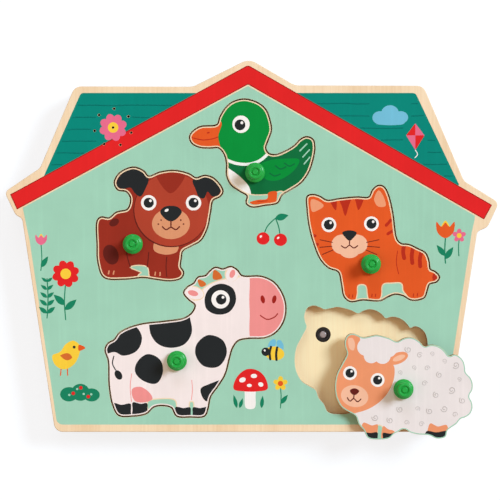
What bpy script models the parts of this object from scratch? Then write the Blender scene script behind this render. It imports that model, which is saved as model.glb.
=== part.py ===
"""Wooden sound puzzle: a house-shaped board with five lift-out farm animals.

The board is a flat wooden box. From the back it is a screwed back board, a side frame, a floor board
with a light sensor under each animal, and a face board with five cut-outs. Each animal is a wooden
piece with a turned knob screwed on from below. Lifting one uncovers its sensor, and the circuit
inside plays that animal's sound through the speaker.

Metres, +X to the right, +Y towards the roof, +Z up out of the face. The origin is on the underside
of the back board.
"""
import math

import bmesh
import bpy
from mathutils import Vector

# Clearances
GAP = 0.0003                 # between two parts that touch or are glued
RECESS_CLEARANCE = 0.0009    # saw cut between an animal and its recess

# Layers of the board, from the back to the face
BACK_THICKNESS = 0.003
FRAME_HEIGHT = 0.012
FLOOR_THICKNESS = 0.003
FACE_THICKNESS = 0.006
FRAME_WALL = 0.011           # width of the side frame's wood

# House outline across: the eaves' outer corners, and how far the rest lies inside them
BOARD_WIDTH = 0.3023
BOARD_MIDDLE_X = 0.00105       # half way between the eaves
BASE_INSET_LEFT = 0.0310
BASE_INSET_RIGHT = 0.0320
WALL_TOP_INSET_LEFT = 0.0108
WALL_TOP_INSET_RIGHT = 0.0133
EAVE_UNDER_INSET_LEFT = 0.0069
EAVE_UNDER_INSET_RIGHT = 0.0069
ROOF_FOOT_INSET_LEFT = 0.0218
ROOF_FOOT_INSET_RIGHT = 0.0214
ROOF_CORNER_INSET_LEFT = 0.0430
ROOF_CORNER_INSET_RIGHT = 0.0463
GABLE_X = -0.0006
GABLE_REACH_LEFT = 0.0342
GABLE_REACH_RIGHT = 0.0281

# House outline up the board
BASE_Y = -0.1136
EAVE_UNDER_Y_LEFT = 0.0188
EAVE_UNDER_Y_RIGHT = 0.0116
EAVE_TOP_Y_LEFT = 0.0330
EAVE_TOP_Y_RIGHT = 0.0265
WALL_TOP_Y_LEFT = 0.0170
WALL_TOP_Y_RIGHT = 0.0088
ROOF_FOOT_Y_LEFT = 0.0477
ROOF_FOOT_Y_RIGHT = 0.0398
ROOF_TOP_Y_LEFT = 0.0976
ROOF_TOP_Y_RIGHT = 0.0980
GABLE_FOOT_Y_LEFT = 0.0974
GABLE_FOOT_Y_RIGHT = 0.0982
GABLE_PEAK_Y = 0.1145

# House outline: its corners
LEFT_X = BOARD_MIDDLE_X - BOARD_WIDTH / 2
RIGHT_X = BOARD_MIDDLE_X + BOARD_WIDTH / 2
BASE_LEFT = (LEFT_X + BASE_INSET_LEFT, BASE_Y)
BASE_RIGHT = (RIGHT_X - BASE_INSET_RIGHT, BASE_Y)
WALL_TOP_LEFT = (LEFT_X + WALL_TOP_INSET_LEFT, WALL_TOP_Y_LEFT)
WALL_TOP_RIGHT = (RIGHT_X - WALL_TOP_INSET_RIGHT, WALL_TOP_Y_RIGHT)
EAVE_UNDER_LEFT = (LEFT_X + EAVE_UNDER_INSET_LEFT, EAVE_UNDER_Y_LEFT)
EAVE_UNDER_RIGHT = (RIGHT_X - EAVE_UNDER_INSET_RIGHT, EAVE_UNDER_Y_RIGHT)
EAVE_TOP_LEFT = (LEFT_X, EAVE_TOP_Y_LEFT)
EAVE_TOP_RIGHT = (RIGHT_X, EAVE_TOP_Y_RIGHT)
ROOF_FOOT_LEFT = (LEFT_X + ROOF_FOOT_INSET_LEFT, ROOF_FOOT_Y_LEFT)
ROOF_FOOT_RIGHT = (RIGHT_X - ROOF_FOOT_INSET_RIGHT, ROOF_FOOT_Y_RIGHT)
ROOF_CORNER_LEFT = (LEFT_X + ROOF_CORNER_INSET_LEFT, ROOF_TOP_Y_LEFT)
ROOF_CORNER_RIGHT = (RIGHT_X - ROOF_CORNER_INSET_RIGHT, ROOF_TOP_Y_RIGHT)
GABLE_FOOT_LEFT = (GABLE_X - GABLE_REACH_LEFT, GABLE_FOOT_Y_LEFT)
GABLE_FOOT_RIGHT = (GABLE_X + GABLE_REACH_RIGHT, GABLE_FOOT_Y_RIGHT)
GABLE_PEAK = (GABLE_X, GABLE_PEAK_Y)

# House outline: radii of its corners
BASE_RADIUS = 0.0055
ROOF_RADIUS = 0.0060
EAVE_TOP_RADIUS = 0.0035
EAVE_UNDER_RADIUS = 0.0060
WALL_TOP_RADIUS = 0.0035
ROOF_FOOT_RADIUS = 0.0060
GABLE_FOOT_RADIUS = 0.0100
PEAK_RADIUS = 0.0090
FRAME_INNER_RADIUS = 0.005

# Animals
PIECE_THICKNESS = 0.006
# Their outlines are in millimetres on a board 302.3 mm wide and 228.1 mm high. On another one they
# keep their shape and fit it both ways.
OUTLINE_UNIT = min(BOARD_WIDTH / 302.3, (GABLE_PEAK_Y - BASE_Y) / 228.1)

# Places of the animals' knobs over their recesses, across in shares of the board's width, and
# of the sensors from there
DOG_PLACE = (BOARD_MIDDLE_X - 0.24 * BOARD_WIDTH, 0.0012)
DOG_SENSOR = (0.0195, -0.0050)
DUCK_PLACE = (BOARD_MIDDLE_X + 0.00678 * BOARD_WIDTH, 0.0448)
DUCK_SENSOR = (0.0183, 0.0004)
CAT_PLACE = (BOARD_MIDDLE_X + 0.24066 * BOARD_WIDTH, -0.0110)
CAT_SENSOR = (-0.0158, 0.0220)
COW_PLACE = (BOARD_MIDDLE_X - 0.15101 * BOARD_WIDTH, -0.0700)
COW_SENSOR = (0.0214, 0.0187)
SHEEP_PLACE = (BOARD_MIDDLE_X + 0.22742 * BOARD_WIDTH, -0.0709)
SHEEP_SENSOR = (-0.0249, 0.0165)
SHEEP_SHIFT = (0.0234, -0.0160)   # from its recess to where the sheep lies on the board

# Knobs and the screws that hold them
KNOB_RADIUS = 0.00605
KNOB_TOP_RADIUS = 0.0045
KNOB_NECK_RADIUS = 0.0049
KNOB_NECK_HEIGHT = 0.0036
KNOB_HEIGHT = 0.012
KNOB_COLLAR = 0.0014
KNOB_ROUNDING = 0.0014
KNOB_GROOVE_RADIUS = 0.0021
KNOB_GROOVE_WIDTH = 0.0010
KNOB_GROOVE_DEPTH = 0.0005
KNOB_SCREW_LENGTH = 0.0130
KNOB_SCREW_RADIUS = 0.0013
KNOB_SCREW_HEAD_RADIUS = 0.00275
KNOB_SCREW_HEAD_DEPTH = 0.0016

# Screws in the back board
BACK_SCREW_LENGTH = 0.0130
BACK_SCREW_RADIUS = 0.0015
BACK_SCREW_HEAD_RADIUS = 0.0030
BACK_SCREW_HEAD_DEPTH = 0.0017
SCREW_SINK = 0.0002          # how far a countersunk head lies below the wood

# Light sensors and their sleeves
SENSOR_RADIUS = 0.00235
SENSOR_SINK = 0.0007         # from the floor board's face to the top of the lens
SENSOR_DOME = 0.0008
SENSOR_FLANGE_RADIUS = 0.0034
SENSOR_FLANGE_THICKNESS = 0.0010
SLEEVE_RADIUS = 0.00435
SLEEVE_SINK = 0.0002
SLEEVE_COLLAR_RADIUS = 0.0060
SLEEVE_COLLAR_THICKNESS = 0.0010
LEAD_RADIUS = 0.0006
LEAD_DROP = 0.0035           # how far the leads run below the sensors
LEAD_BEND = 0.0025           # from the corner of a bend to each of its ends
SIDE_LEAD_REACH = 0.35       # share of its length that a side lead leaves straight
SIDE_LEAD_CLIMB = 0.8        # share of its climb that the battery's lead makes at its end
SPEAKER_LEAD_DROP = 0.0065   # pull that takes the speaker's lead under the circuit board

# Circuit board
CIRCUIT_PLACE = (0.0, 0.004)
CIRCUIT_LENGTH = 0.044
CIRCUIT_WIDTH = 0.030
CIRCUIT_THICKNESS = 0.0012
CIRCUIT_CORNER = 0.0015
CIRCUIT_SCREW_INSET = 0.0035
CIRCUIT_SCREW_RADIUS = 0.0010
CIRCUIT_SCREW_HEAD_RADIUS = 0.0021
CIRCUIT_SCREW_HEAD_HEIGHT = 0.0014
CIRCUIT_SCREW_BITE = 0.0020  # depth of thread in the floor board
PAD_INSET = 0.0030           # from the circuit board's edge to the leads' ends
CHIP_RADIUS = 0.0055
CHIP_HEIGHT = 0.0016

# Speaker
SPEAKER_PLACE = (BOARD_MIDDLE_X - 0.28019 * BOARD_WIDTH, 0.0724)
SPEAKER_RADIUS = 0.0137
SPEAKER_RIM = 0.0012
SPEAKER_RIM_HEIGHT = 0.0013
SPEAKER_HEIGHT = 0.0050
SPEAKER_WALL = 0.0008
SPEAKER_NECK_RADIUS = 0.0040
CONE_THICKNESS = 0.0004
CONE_CAP_RADIUS = 0.0030
MAGNET_RADIUS = 0.0075
MAGNET_HEIGHT = 0.0035
SOUND_HOLE_RADIUS = 0.00075
SOUND_RING_RADIUS = 0.0115
SOUND_RING_COUNT = 7
SOUND_RING_TURN = math.radians(35.6)     # from +X to the first hole of the ring

# Battery box, its two cells and its door
BATTERY_PLACE = (BOARD_MIDDLE_X + 0.21485 * BOARD_WIDTH, 0.056)
CELL_RADIUS = 0.00525
CELL_LENGTH = 0.0445
CELL_TIP_RADIUS = 0.0019
CELL_TIP_LENGTH = 0.0008
SPRING_LENGTH = 0.0040
SPRING_RADIUS = 0.0032
SPRING_WIRE_RADIUS = 0.00025
SPRING_TURNS = 3
CONTACT_THICKNESS = 0.0004
CONTACT_SIZE = 0.0080
BOX_WALL = 0.0012
BOX_SCREW_BLOCK = 0.0080     # solid end of the box that takes the door's screw
BOX_LEDGE = 0.0010           # how far the box reaches past its opening in the back board
DOOR_THICKNESS = 0.0024
DOOR_CORNER = 0.0020
DOOR_SCREW_LENGTH = 0.0080
DOOR_SCREW_RADIUS = 0.0011
DOOR_SCREW_HEAD_RADIUS = 0.0022
DOOR_SCREW_HEAD_DEPTH = 0.0013

# Heights worked out from the layers
FRAME_Z = BACK_THICKNESS + GAP
FLOOR_Z = FRAME_Z + FRAME_HEIGHT + GAP
FLOOR_TOP = FLOOR_Z + FLOOR_THICKNESS
FACE_Z = FLOOR_TOP + GAP
FACE_TOP = FACE_Z + FACE_THICKNESS
SENSOR_FLANGE_Z = FLOOR_Z - GAP - SLEEVE_COLLAR_THICKNESS - GAP - SENSOR_FLANGE_THICKNESS
CIRCUIT_Z = FLOOR_Z - GAP - CIRCUIT_THICKNESS

# Outlines of the animals, from each one's knob, in OUTLINE_UNIT
DOG_OUTLINE = [
    (-21.5, 14), (-19.5, 16), (-14.5, 15.5), (-10, 19), (-3, 21), (-1, 28), (-4, 32.5), (-9, 33.5),
    (-11, 37.5), (-8, 43), (0, 46.5), (6, 44.5), (9.5, 41), (16.5, 43.5), (25.5, 44.5), (34, 42.5),
    (38.5, 40), (44, 41.5), (49.5, 39.5), (54.5, 32.5), (53, 29.5), (48.5, 27), (47, 20), (45, 10),
    (41, 2.5), (35, -1), (30, -4), (29, -9), (28.5, -14), (30.5, -17.5), (29, -20.5), (23, -22),
    (13.5, -21), (6.5, -20), (-5, -21), (-17.5, -20), (-21, -11), (-21.5, 0),
]
DUCK_OUTLINE = [
    (-39.5, 22.5), (-34, 27.5), (-23, 29), (-21, 34), (-17.5, 39.5), (-13, 43), (-6.5, 44.5),
    (1, 42.5), (6, 38.5), (8.5, 32.5), (9.5, 26), (7.5, 20), (6, 15), (8, 11.5), (12, 10.5),
    (17, 12), (24, 16), (28, 20), (31.5, 21.5), (35, 20), (36, 16), (35, 8.5), (32, 0), (27.5, -6),
    (21.5, -10), (16, -13.5), (13.5, -18), (6, -19.5), (-2, -20.5), (-5, -18.5), (-4.5, -14),
    (-9, -11), (-14.5, -7), (-17, -1.5), (-17, 5.5), (-18.5, 11.5), (-22, 15.5), (-28, 15.5),
    (-34, 16), (-38.5, 18.5),
]
CAT_OUTLINE = [
    (-38.5, 41), (-35.5, 42), (-31.5, 41), (-27, 38.5), (-19, 39.5), (-8.5, 40.5), (-1, 40.5),
    (1.5, 45), (4.5, 47.5), (7.5, 47), (10, 43), (13, 31), (15.5, 15), (18.5, 12), (23, 11.5),
    (28.5, 9), (33, 6.5), (35, 2), (36, -3.5), (39, -5), (41.5, -8), (40, -10.5), (35.5, -12),
    (34, -16), (32.5, -20), (29, -21.5), (24.5, -21.5), (20, -19), (15, -18), (10.5, -19.5),
    (5.5, -22), (-5, -21.5), (-12.5, -22.5), (-16, -19.5), (-17.5, -12), (-19.5, -4.5),
    (-25.5, -2), (-30, 2.5), (-33.5, 10), (-37, 22), (-38.5, 33.5),
]
COW_OUTLINE = [
    (-43.5, 6.5), (-42, 10), (-38, 12.5), (-35, 16.5), (-29.5, 19.5), (-21, 22), (-8, 23.5),
    (4.5, 25.5), (9.5, 29), (11.5, 34), (7.5, 37.5), (4.5, 41.5), (6.5, 44.5), (10.5, 47),
    (13, 50.5), (17.5, 51.5), (20.5, 54.5), (23.5, 56.5), (28, 55.5), (33, 57), (36.5, 55),
    (39.5, 51.5), (51.5, 51), (59, 47.5), (64, 40.5), (66, 33.5), (65, 25), (60.5, 18),
    (54, 14.5), (43.5, 14), (37, 12.5), (33.5, 8), (31.5, 1.5), (29, -8), (24.5, -15.5),
    (20, -22), (18.5, -29), (16.5, -33.5), (8, -34), (0, -33.5), (-3, -28.5), (-9, -27),
    (-14.5, -28), (-19, -32), (-27.5, -33.5), (-35.5, -33), (-39, -26.5), (-41, -15), (-41.5, 0),
]
SHEEP_OUTLINE = [
    (-35.6, 28.5), (-34, 32.4), (-31, 33.6), (-28, 32.8), (-24.5, 31.3), (-20.5, 31.9), (-16.5, 32.7),
    (-12.5, 32), (-8, 30.6), (-4.9, 29), (-3, 28.9), (-0.3, 30.4), (3, 31.3), (6.8, 30.6), (10.2, 28.4),
    (12.1, 26.2), (13.7, 25.8), (16, 26.6), (19.4, 26.5), (23, 24.9), (25.8, 22.2), (27.2, 20.3),
    (28.8, 20), (31, 20.9), (34, 19.8), (36.6, 16.8), (37.6, 13), (37.8, 10.5), (38.8, 9), (40.8, 6.9),
    (42.2, 3.2), (41.9, -0.8), (40.4, -3.4), (40.2, -5.1), (41.6, -7.8), (42.1, -11.4), (40.6, -15.2),
    (37.6, -17.3), (35.2, -18.1), (33.9, -19.3), (32.4, -21.2), (29.4, -23.3), (27, -25.2),
    (25.6, -29.2), (20.5, -30.2), (15.6, -28.2), (9, -27.7), (4.6, -26.6), (1.4, -24.7), (-0.6, -24.6),
    (-3, -26), (-5.6, -27.4), (-8.5, -30), (-15.5, -30.8), (-21.5, -29.8), (-24, -25), (-27, -21.5),
    (-29, -16.5), (-33, -14), (-37.5, -11), (-40.5, -5.5), (-41.5, 0.5), (-40.5, 8.5), (-37, 15.5),
    (-34.2, 21.5), (-35.2, 25),
]

# Each animal: its knob's place over the recess, its sensor's place from there, its outline
ANIMALS = {
    "dog": (DOG_PLACE, DOG_SENSOR, DOG_OUTLINE),
    "duck": (DUCK_PLACE, DUCK_SENSOR, DUCK_OUTLINE),
    "cat": (CAT_PLACE, CAT_SENSOR, CAT_OUTLINE),
    "cow": (COW_PLACE, COW_SENSOR, COW_OUTLINE),
    "sheep": (SHEEP_PLACE, SHEEP_SENSOR, SHEEP_OUTLINE),
}

# Where each lead ends on the circuit board, in shares of its half length and half width
PADS = {
    "dog": (-1.0, -0.1),
    "duck": (0.35, 1.0),
    "cat": (1.0, 0.2),
    "cow": (-0.55, -1.0),
    "sheep": (0.5, -1.0),
    "speaker": (-1.0, 0.75),
    "battery": (1.0, 0.8),
}


def clear_scene():
    for old in list(bpy.data.objects):
        bpy.data.objects.remove(old, do_unlink=True)


def new_collection(name):
    collection = bpy.data.collections.new(name)
    bpy.context.scene.collection.children.link(collection)
    return collection


def new_material(name, colour, roughness, metallic=0.0):
    material = bpy.data.materials.new(name)
    material.use_nodes = True
    shader = material.node_tree.nodes["Principled BSDF"]
    shader.inputs["Base Color"].default_value = (*colour, 1.0)
    shader.inputs["Roughness"].default_value = roughness
    shader.inputs["Metallic"].default_value = metallic
    return material


clear_scene()
PARTS = new_collection("wooden_sound_puzzle")
CUTTERS = new_collection("cutters")
MATERIALS = {
    "pale_wood": new_material("pale_wood", (0.90, 0.72, 0.45), 0.55),
    "mint_face": new_material("mint_face", (0.38, 0.65, 0.50), 0.45),
    "dog_paint": new_material("dog_paint", (0.33, 0.03, 0.02), 0.40),
    "duck_paint": new_material("duck_paint", (0.0, 0.25, 0.05), 0.40),
    "cat_paint": new_material("cat_paint", (0.80, 0.10, 0.02), 0.40),
    "cow_paint": new_material("cow_paint", (0.90, 0.80, 0.76), 0.40),
    "sheep_paint": new_material("sheep_paint", (0.86, 0.79, 0.76), 0.40),
    "green_knob": new_material("green_knob", (0.04, 0.40, 0.07), 0.25),
    "steel": new_material("steel", (0.62, 0.61, 0.58), 0.35, 1.0),
    "black_plastic": new_material("black_plastic", (0.015, 0.013, 0.012), 0.40),
    "sensor_lens": new_material("sensor_lens", (0.25, 0.22, 0.24), 0.15),
    "lead_cover": new_material("lead_cover", (0.55, 0.03, 0.02), 0.45),
    "circuit_green": new_material("circuit_green", (0.02, 0.18, 0.07), 0.40),
    "speaker_paper": new_material("speaker_paper", (0.04, 0.04, 0.04), 0.80),
    "cell_wrap": new_material("cell_wrap", (0.05, 0.12, 0.35), 0.35),
}


def keep(part, name, material):
    """Names a finished part and its mesh or curve, gives it its material and files it."""
    part.name = name
    part.data.name = name
    part.data.materials.clear()
    part.data.materials.append(MATERIALS[material])
    PARTS.objects.link(part)
    return part


def rounded(corners, steps=4):
    """Closed outline through (x, y, radius) corners, each turned with an arc."""
    outline = []
    count = len(corners)
    for i, (x, y, radius) in enumerate(corners):
        here = Vector((x, y))
        before = (Vector(corners[i - 1][:2]) - here).normalized()
        after = (Vector(corners[(i + 1) % count][:2]) - here).normalized()
        half = before.angle(after) / 2
        centre = here + (before + after).normalized() * (radius / math.sin(half))
        start = here + before * (radius / math.tan(half)) - centre
        turn = start.angle_signed(here + after * (radius / math.tan(half)) - centre)
        for step in range(steps + 1):
            angle = math.atan2(start.y, start.x) - turn * step / steps
            outline.append(centre + radius * Vector((math.cos(angle), math.sin(angle))))
    return outline


def smooth(points, steps=2):
    """Closed smooth curve through points, read at steps places between each two."""
    outline = []
    count = len(points)
    for i in range(count):
        p0, p1, p2, p3 = (Vector(points[(i + k) % count]) for k in (-1, 0, 1, 2))
        d0, d1, d2 = (math.sqrt((b - a).length) for a, b in ((p0, p1), (p1, p2), (p2, p3)))
        m1 = ((p1 - p0) / d0 - (p2 - p0) / (d0 + d1) + (p2 - p1) / d1) * d1
        m2 = ((p2 - p1) / d1 - (p3 - p1) / (d1 + d2) + (p3 - p2) / d2) * d1
        for step in range(steps):
            t = step / steps
            outline.append((2 * t**3 - 3 * t**2 + 1) * p1 + (t**3 - 2 * t**2 + t) * m1
                           + (3 * t**2 - 2 * t**3) * p2 + (t**3 - t**2) * m2)
    return outline


def area(outline):
    return sum(a.cross(b) for a, b in zip(outline, outline[1:] + outline[:1])) / 2


def grown(outline, distance):
    """The outline moved outwards by distance, or inwards where distance is negative."""
    points = [Vector(point[:2]) for point in outline]
    side = 1 if area(points) > 0 else -1
    moved = []
    for i, here in enumerate(points):
        along_in = (here - points[i - 1]).normalized()
        along_out = (points[(i + 1) % len(points)] - here).normalized()
        normal_in = Vector((along_in.y, -along_in.x)) * side
        normal_out = Vector((along_out.y, -along_out.x)) * side
        mitre = (normal_in + normal_out).normalized()
        moved.append(here + mitre * (distance / mitre.dot(normal_in)))
    return moved


def ring_of_points(place, radius, count):
    centre = Vector(place)
    angles = [2 * math.pi * i / count for i in range(count)]
    return [centre + radius * Vector((math.cos(a), math.sin(a))) for a in angles]


def rectangle(place, length, width, corner):
    x, y = place
    signs = ((-1, -1), (1, -1), (1, 1), (-1, 1))
    return rounded([(x + sx * length / 2, y + sy * width / 2, corner) for sx, sy in signs])


def as_mesh(curve_object):
    """The curve's surface as a closed mesh object, in the curve's place."""
    bpy.context.scene.collection.objects.link(curve_object)
    bpy.context.view_layer.update()
    evaluated = curve_object.evaluated_get(bpy.context.evaluated_depsgraph_get())
    mesh = bpy.data.meshes.new_from_object(evaluated)
    shell = bmesh.new()
    shell.from_mesh(mesh)
    bmesh.ops.remove_doubles(shell, verts=shell.verts, dist=0.00001)
    shell.to_mesh(mesh)
    shell.free()
    mesh.materials.clear()
    part = bpy.data.objects.new(curve_object.name, mesh)
    part.matrix_world = curve_object.matrix_world
    bpy.data.objects.remove(curve_object)
    return part


def plate(outline, holes, bottom, thickness, place=(0.0, 0.0)):
    """A flat board with holes: a filled 2D curve given half its thickness each way."""
    curve = bpy.data.curves.new("plate", "CURVE")
    curve.dimensions = "2D"
    curve.fill_mode = "BOTH"
    curve.extrude = thickness / 2
    for loop in [outline, *holes]:
        spline = curve.splines.new("POLY")
        spline.points.add(len(loop) - 1)
        for point, (x, y) in zip(spline.points, loop):
            point.co = (x, y, 0.0, 1.0)
        spline.use_cyclic_u = True
    board = bpy.data.objects.new("plate", curve)
    board.location = (*place, bottom + thickness / 2)
    return as_mesh(board)


def turned(profile, place, steps, base=0.0):
    """A turned part. Its profile of (radius, height) runs down the outer side, top to bottom."""
    mesh = bpy.data.meshes.new("turned")
    closed = profile[0] == profile[-1]
    points = profile[:-1] if closed else profile
    edges = [(i, i + 1) for i in range(len(points) - 1)]
    if closed:
        edges.append((len(points) - 1, 0))
    mesh.from_pydata([(radius, 0.0, height) for radius, height in points], edges, [])
    part = bpy.data.objects.new("turned", mesh)
    part.location = (*place, base)
    screw = part.modifiers.new("turn", "SCREW")
    screw.axis = "Z"
    screw.steps = steps
    screw.render_steps = steps
    screw.use_merge_vertices = True
    screw.merge_threshold = 0.00001
    screw.use_smooth_shade = False
    return part


def tube(points, radius, sides_step=2):
    """A wire or lead along points, as a bevelled curve with filled caps."""
    curve = bpy.data.curves.new("tube", "CURVE")
    curve.dimensions = "3D"
    curve.bevel_depth = radius
    curve.bevel_resolution = sides_step
    curve.use_fill_caps = True
    spline = curve.splines.new("POLY")
    spline.points.add(len(points) - 1)
    for point, place in zip(spline.points, points):
        point.co = (*place, 1.0)
    return bpy.data.objects.new("tube", curve)


def block(size, centre):
    """A rectangular block, from a primitive cube."""
    mesh = bpy.data.meshes.new("block")
    shell = bmesh.new()
    bmesh.ops.create_cube(shell, size=1.0)
    bmesh.ops.scale(shell, vec=size, verts=shell.verts)
    shell.to_mesh(mesh)
    shell.free()
    part = bpy.data.objects.new("block", mesh)
    part.location = centre
    return part


def cut(part, cutter, name):
    """Takes the cutter's shape out of the part."""
    cutter.name = name
    cutter.hide_render = True
    cutter.display_type = "WIRE"
    CUTTERS.objects.link(cutter)
    modifier = part.modifiers.new(name, "BOOLEAN")
    modifier.operation = "DIFFERENCE"
    modifier.solver = "EXACT"
    modifier.object = cutter


def screw_profile(length, radius, head_radius, head_depth):
    """A countersunk screw, head down, from its tip at the top to its head at height 0."""
    tip = radius
    return [
        (0.0, length),
        (radius * 0.3, length),
        (radius, length - tip),
        (radius, head_depth),
        (head_radius, 0.0),
        (0.0, 0.0),
    ]


def screw_hole_profile(depth, radius, head_radius, head_depth, sink):
    """The hole for such a screw, wider by the gap and open below the wood's face."""
    return [
        (0.0, depth),
        (radius + GAP, depth),
        (radius + GAP, head_depth + sink),
        (head_radius + GAP, sink),
        (head_radius + GAP, -sink - GAP),
        (0.0, -sink - GAP),
    ]


def house_corners():
    """The whole house, corner by corner from the base, against the clock."""
    return [
        (*BASE_LEFT, BASE_RADIUS),
        (*BASE_RIGHT, BASE_RADIUS),
        (*WALL_TOP_RIGHT, WALL_TOP_RADIUS),
        (*EAVE_UNDER_RIGHT, EAVE_UNDER_RADIUS),
        (*EAVE_TOP_RIGHT, EAVE_TOP_RADIUS),
        (*ROOF_FOOT_RIGHT, ROOF_FOOT_RADIUS),
        (*ROOF_CORNER_RIGHT, ROOF_RADIUS),
        (*GABLE_FOOT_RIGHT, GABLE_FOOT_RADIUS),
        (*GABLE_PEAK, PEAK_RADIUS),
        (*GABLE_FOOT_LEFT, GABLE_FOOT_RADIUS),
        (*ROOF_CORNER_LEFT, ROOF_RADIUS),
        (*ROOF_FOOT_LEFT, ROOF_FOOT_RADIUS),
        (*EAVE_TOP_LEFT, EAVE_TOP_RADIUS),
        (*EAVE_UNDER_LEFT, EAVE_UNDER_RADIUS),
        (*WALL_TOP_LEFT, WALL_TOP_RADIUS),
    ]


def body_corners():
    """The house without its eaves and gable, which the side frame follows on its inside."""
    return [
        BASE_LEFT,
        BASE_RIGHT,
        WALL_TOP_RIGHT,
        ROOF_FOOT_RIGHT,
        ROOF_CORNER_RIGHT,
        ROOF_CORNER_LEFT,
        ROOF_FOOT_LEFT,
        WALL_TOP_LEFT,
    ]


def back_screw_places():
    """Six places in the middle of the side frame's wood."""
    middle = grown(body_corners(), -FRAME_WALL / 2)
    return [middle[i] for i in (0, 1, 2, 4, 5, 7)]


def animal_outline(name):
    points = [(x * OUTLINE_UNIT, y * OUTLINE_UNIT) for x, y in ANIMALS[name][2]]
    return smooth(points)


def sensor_place(name):
    place, offset, _ = ANIMALS[name]
    return (place[0] + offset[0], place[1] + offset[1])


def pad_place(name):
    share = PADS[name]
    return (
        CIRCUIT_PLACE[0] + share[0] * (CIRCUIT_LENGTH / 2 - PAD_INSET),
        CIRCUIT_PLACE[1] + share[1] * (CIRCUIT_WIDTH / 2 - PAD_INSET),
    )


def circuit_screw_places():
    dx = CIRCUIT_LENGTH / 2 - CIRCUIT_SCREW_INSET
    dy = CIRCUIT_WIDTH / 2 - CIRCUIT_SCREW_INSET
    x, y = CIRCUIT_PLACE
    return [(x - dx, y - dy), (x + dx, y - dy)]


def sound_holes():
    """Outlines of a middle hole and a ring of holes round it, over the speaker."""
    middle = Vector(SPEAKER_PLACE)
    places = [middle]
    for i in range(SOUND_RING_COUNT):
        angle = SOUND_RING_TURN + 2 * math.pi * i / SOUND_RING_COUNT
        places.append(middle + SOUND_RING_RADIUS * Vector((math.cos(angle), math.sin(angle))))
    return [ring_of_points(place, SOUND_HOLE_RADIUS, 8) for place in places]


def make_face_board():
    recesses = []
    for name, (place, _, _) in ANIMALS.items():
        centre = Vector(place)
        outline = grown(animal_outline(name), RECESS_CLEARANCE)
        recesses.append([centre + point for point in outline])
    board = plate(rounded(house_corners()), recesses + sound_holes(), FACE_Z, FACE_THICKNESS)
    keep(board, "face_board", "mint_face")


def make_floor_board():
    holes = [ring_of_points(sensor_place(name), SLEEVE_RADIUS + GAP, 16) for name in ANIMALS]
    board = plate(rounded(house_corners()), holes + sound_holes(), FLOOR_Z, FLOOR_THICKNESS)
    keep(board, "floor_board", "pale_wood")
    for number, place in enumerate(circuit_screw_places(), 1):
        depth = CIRCUIT_SCREW_BITE + GAP
        radius = CIRCUIT_SCREW_RADIUS + GAP
        hole = turned([(0, depth), (radius, depth), (radius, -GAP), (0, -GAP)], place, 12, FLOOR_Z)
        cut(board, hole, f"circuit_screw_hole_{number}")


def make_side_frame():
    inner = [(*point, FRAME_INNER_RADIUS) for point in grown(body_corners(), -FRAME_WALL)]
    holes = [ring_of_points(p, BACK_SCREW_RADIUS + GAP, 12) for p in back_screw_places()]
    frame = plate(rounded(house_corners()), [rounded(inner), *holes], FRAME_Z, FRAME_HEIGHT)
    keep(frame, "side_frame", "pale_wood")


def make_back_board():
    opening = rectangle(door_place(), door_length() + 2 * GAP, door_width() + 2 * GAP, DOOR_CORNER)
    board = plate(rounded(house_corners()), [opening], 0.0, BACK_THICKNESS)
    keep(board, "back_board", "pale_wood")
    profile = screw_hole_profile(BACK_THICKNESS + GAP, BACK_SCREW_RADIUS, BACK_SCREW_HEAD_RADIUS,
                                 BACK_SCREW_HEAD_DEPTH, SCREW_SINK)
    for number, place in enumerate(back_screw_places(), 1):
        cut(board, turned(profile, place, 12), f"back_screw_hole_{number}")


def make_back_screws():
    profile = screw_profile(BACK_SCREW_LENGTH, BACK_SCREW_RADIUS, BACK_SCREW_HEAD_RADIUS,
                            BACK_SCREW_HEAD_DEPTH)
    for number, place in enumerate(back_screw_places(), 1):
        keep(turned(profile, place, 12, SCREW_SINK), f"back_screw_{number}", "steel")


def knob_profile():
    """Half of the turned knob, from its top's middle round to the screw hole's end."""
    button = KNOB_GROOVE_RADIUS - KNOB_GROOVE_WIDTH / 2
    land = KNOB_GROOVE_RADIUS + KNOB_GROOVE_WIDTH / 2
    hole = KNOB_SCREW_RADIUS + GAP
    bite = KNOB_SCREW_LENGTH + SCREW_SINK - PIECE_THICKNESS
    rounding = []
    for step in range(4):
        angle = math.pi / 2 * (1 - step / 3)
        rounding.append((KNOB_TOP_RADIUS - KNOB_ROUNDING * (1 - math.cos(angle)),
                         KNOB_HEIGHT - KNOB_ROUNDING * (1 - math.sin(angle))))
    return [
        (0.0, KNOB_HEIGHT),
        (button, KNOB_HEIGHT),
        (KNOB_GROOVE_RADIUS, KNOB_HEIGHT - KNOB_GROOVE_DEPTH),
        (land, KNOB_HEIGHT),
        *rounding,
        (KNOB_NECK_RADIUS, KNOB_NECK_HEIGHT),
        (KNOB_RADIUS, KNOB_COLLAR),
        (KNOB_RADIUS, 0.0),
        (hole, 0.0),
        (hole, bite),
        (0.0, bite),
    ]


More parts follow.
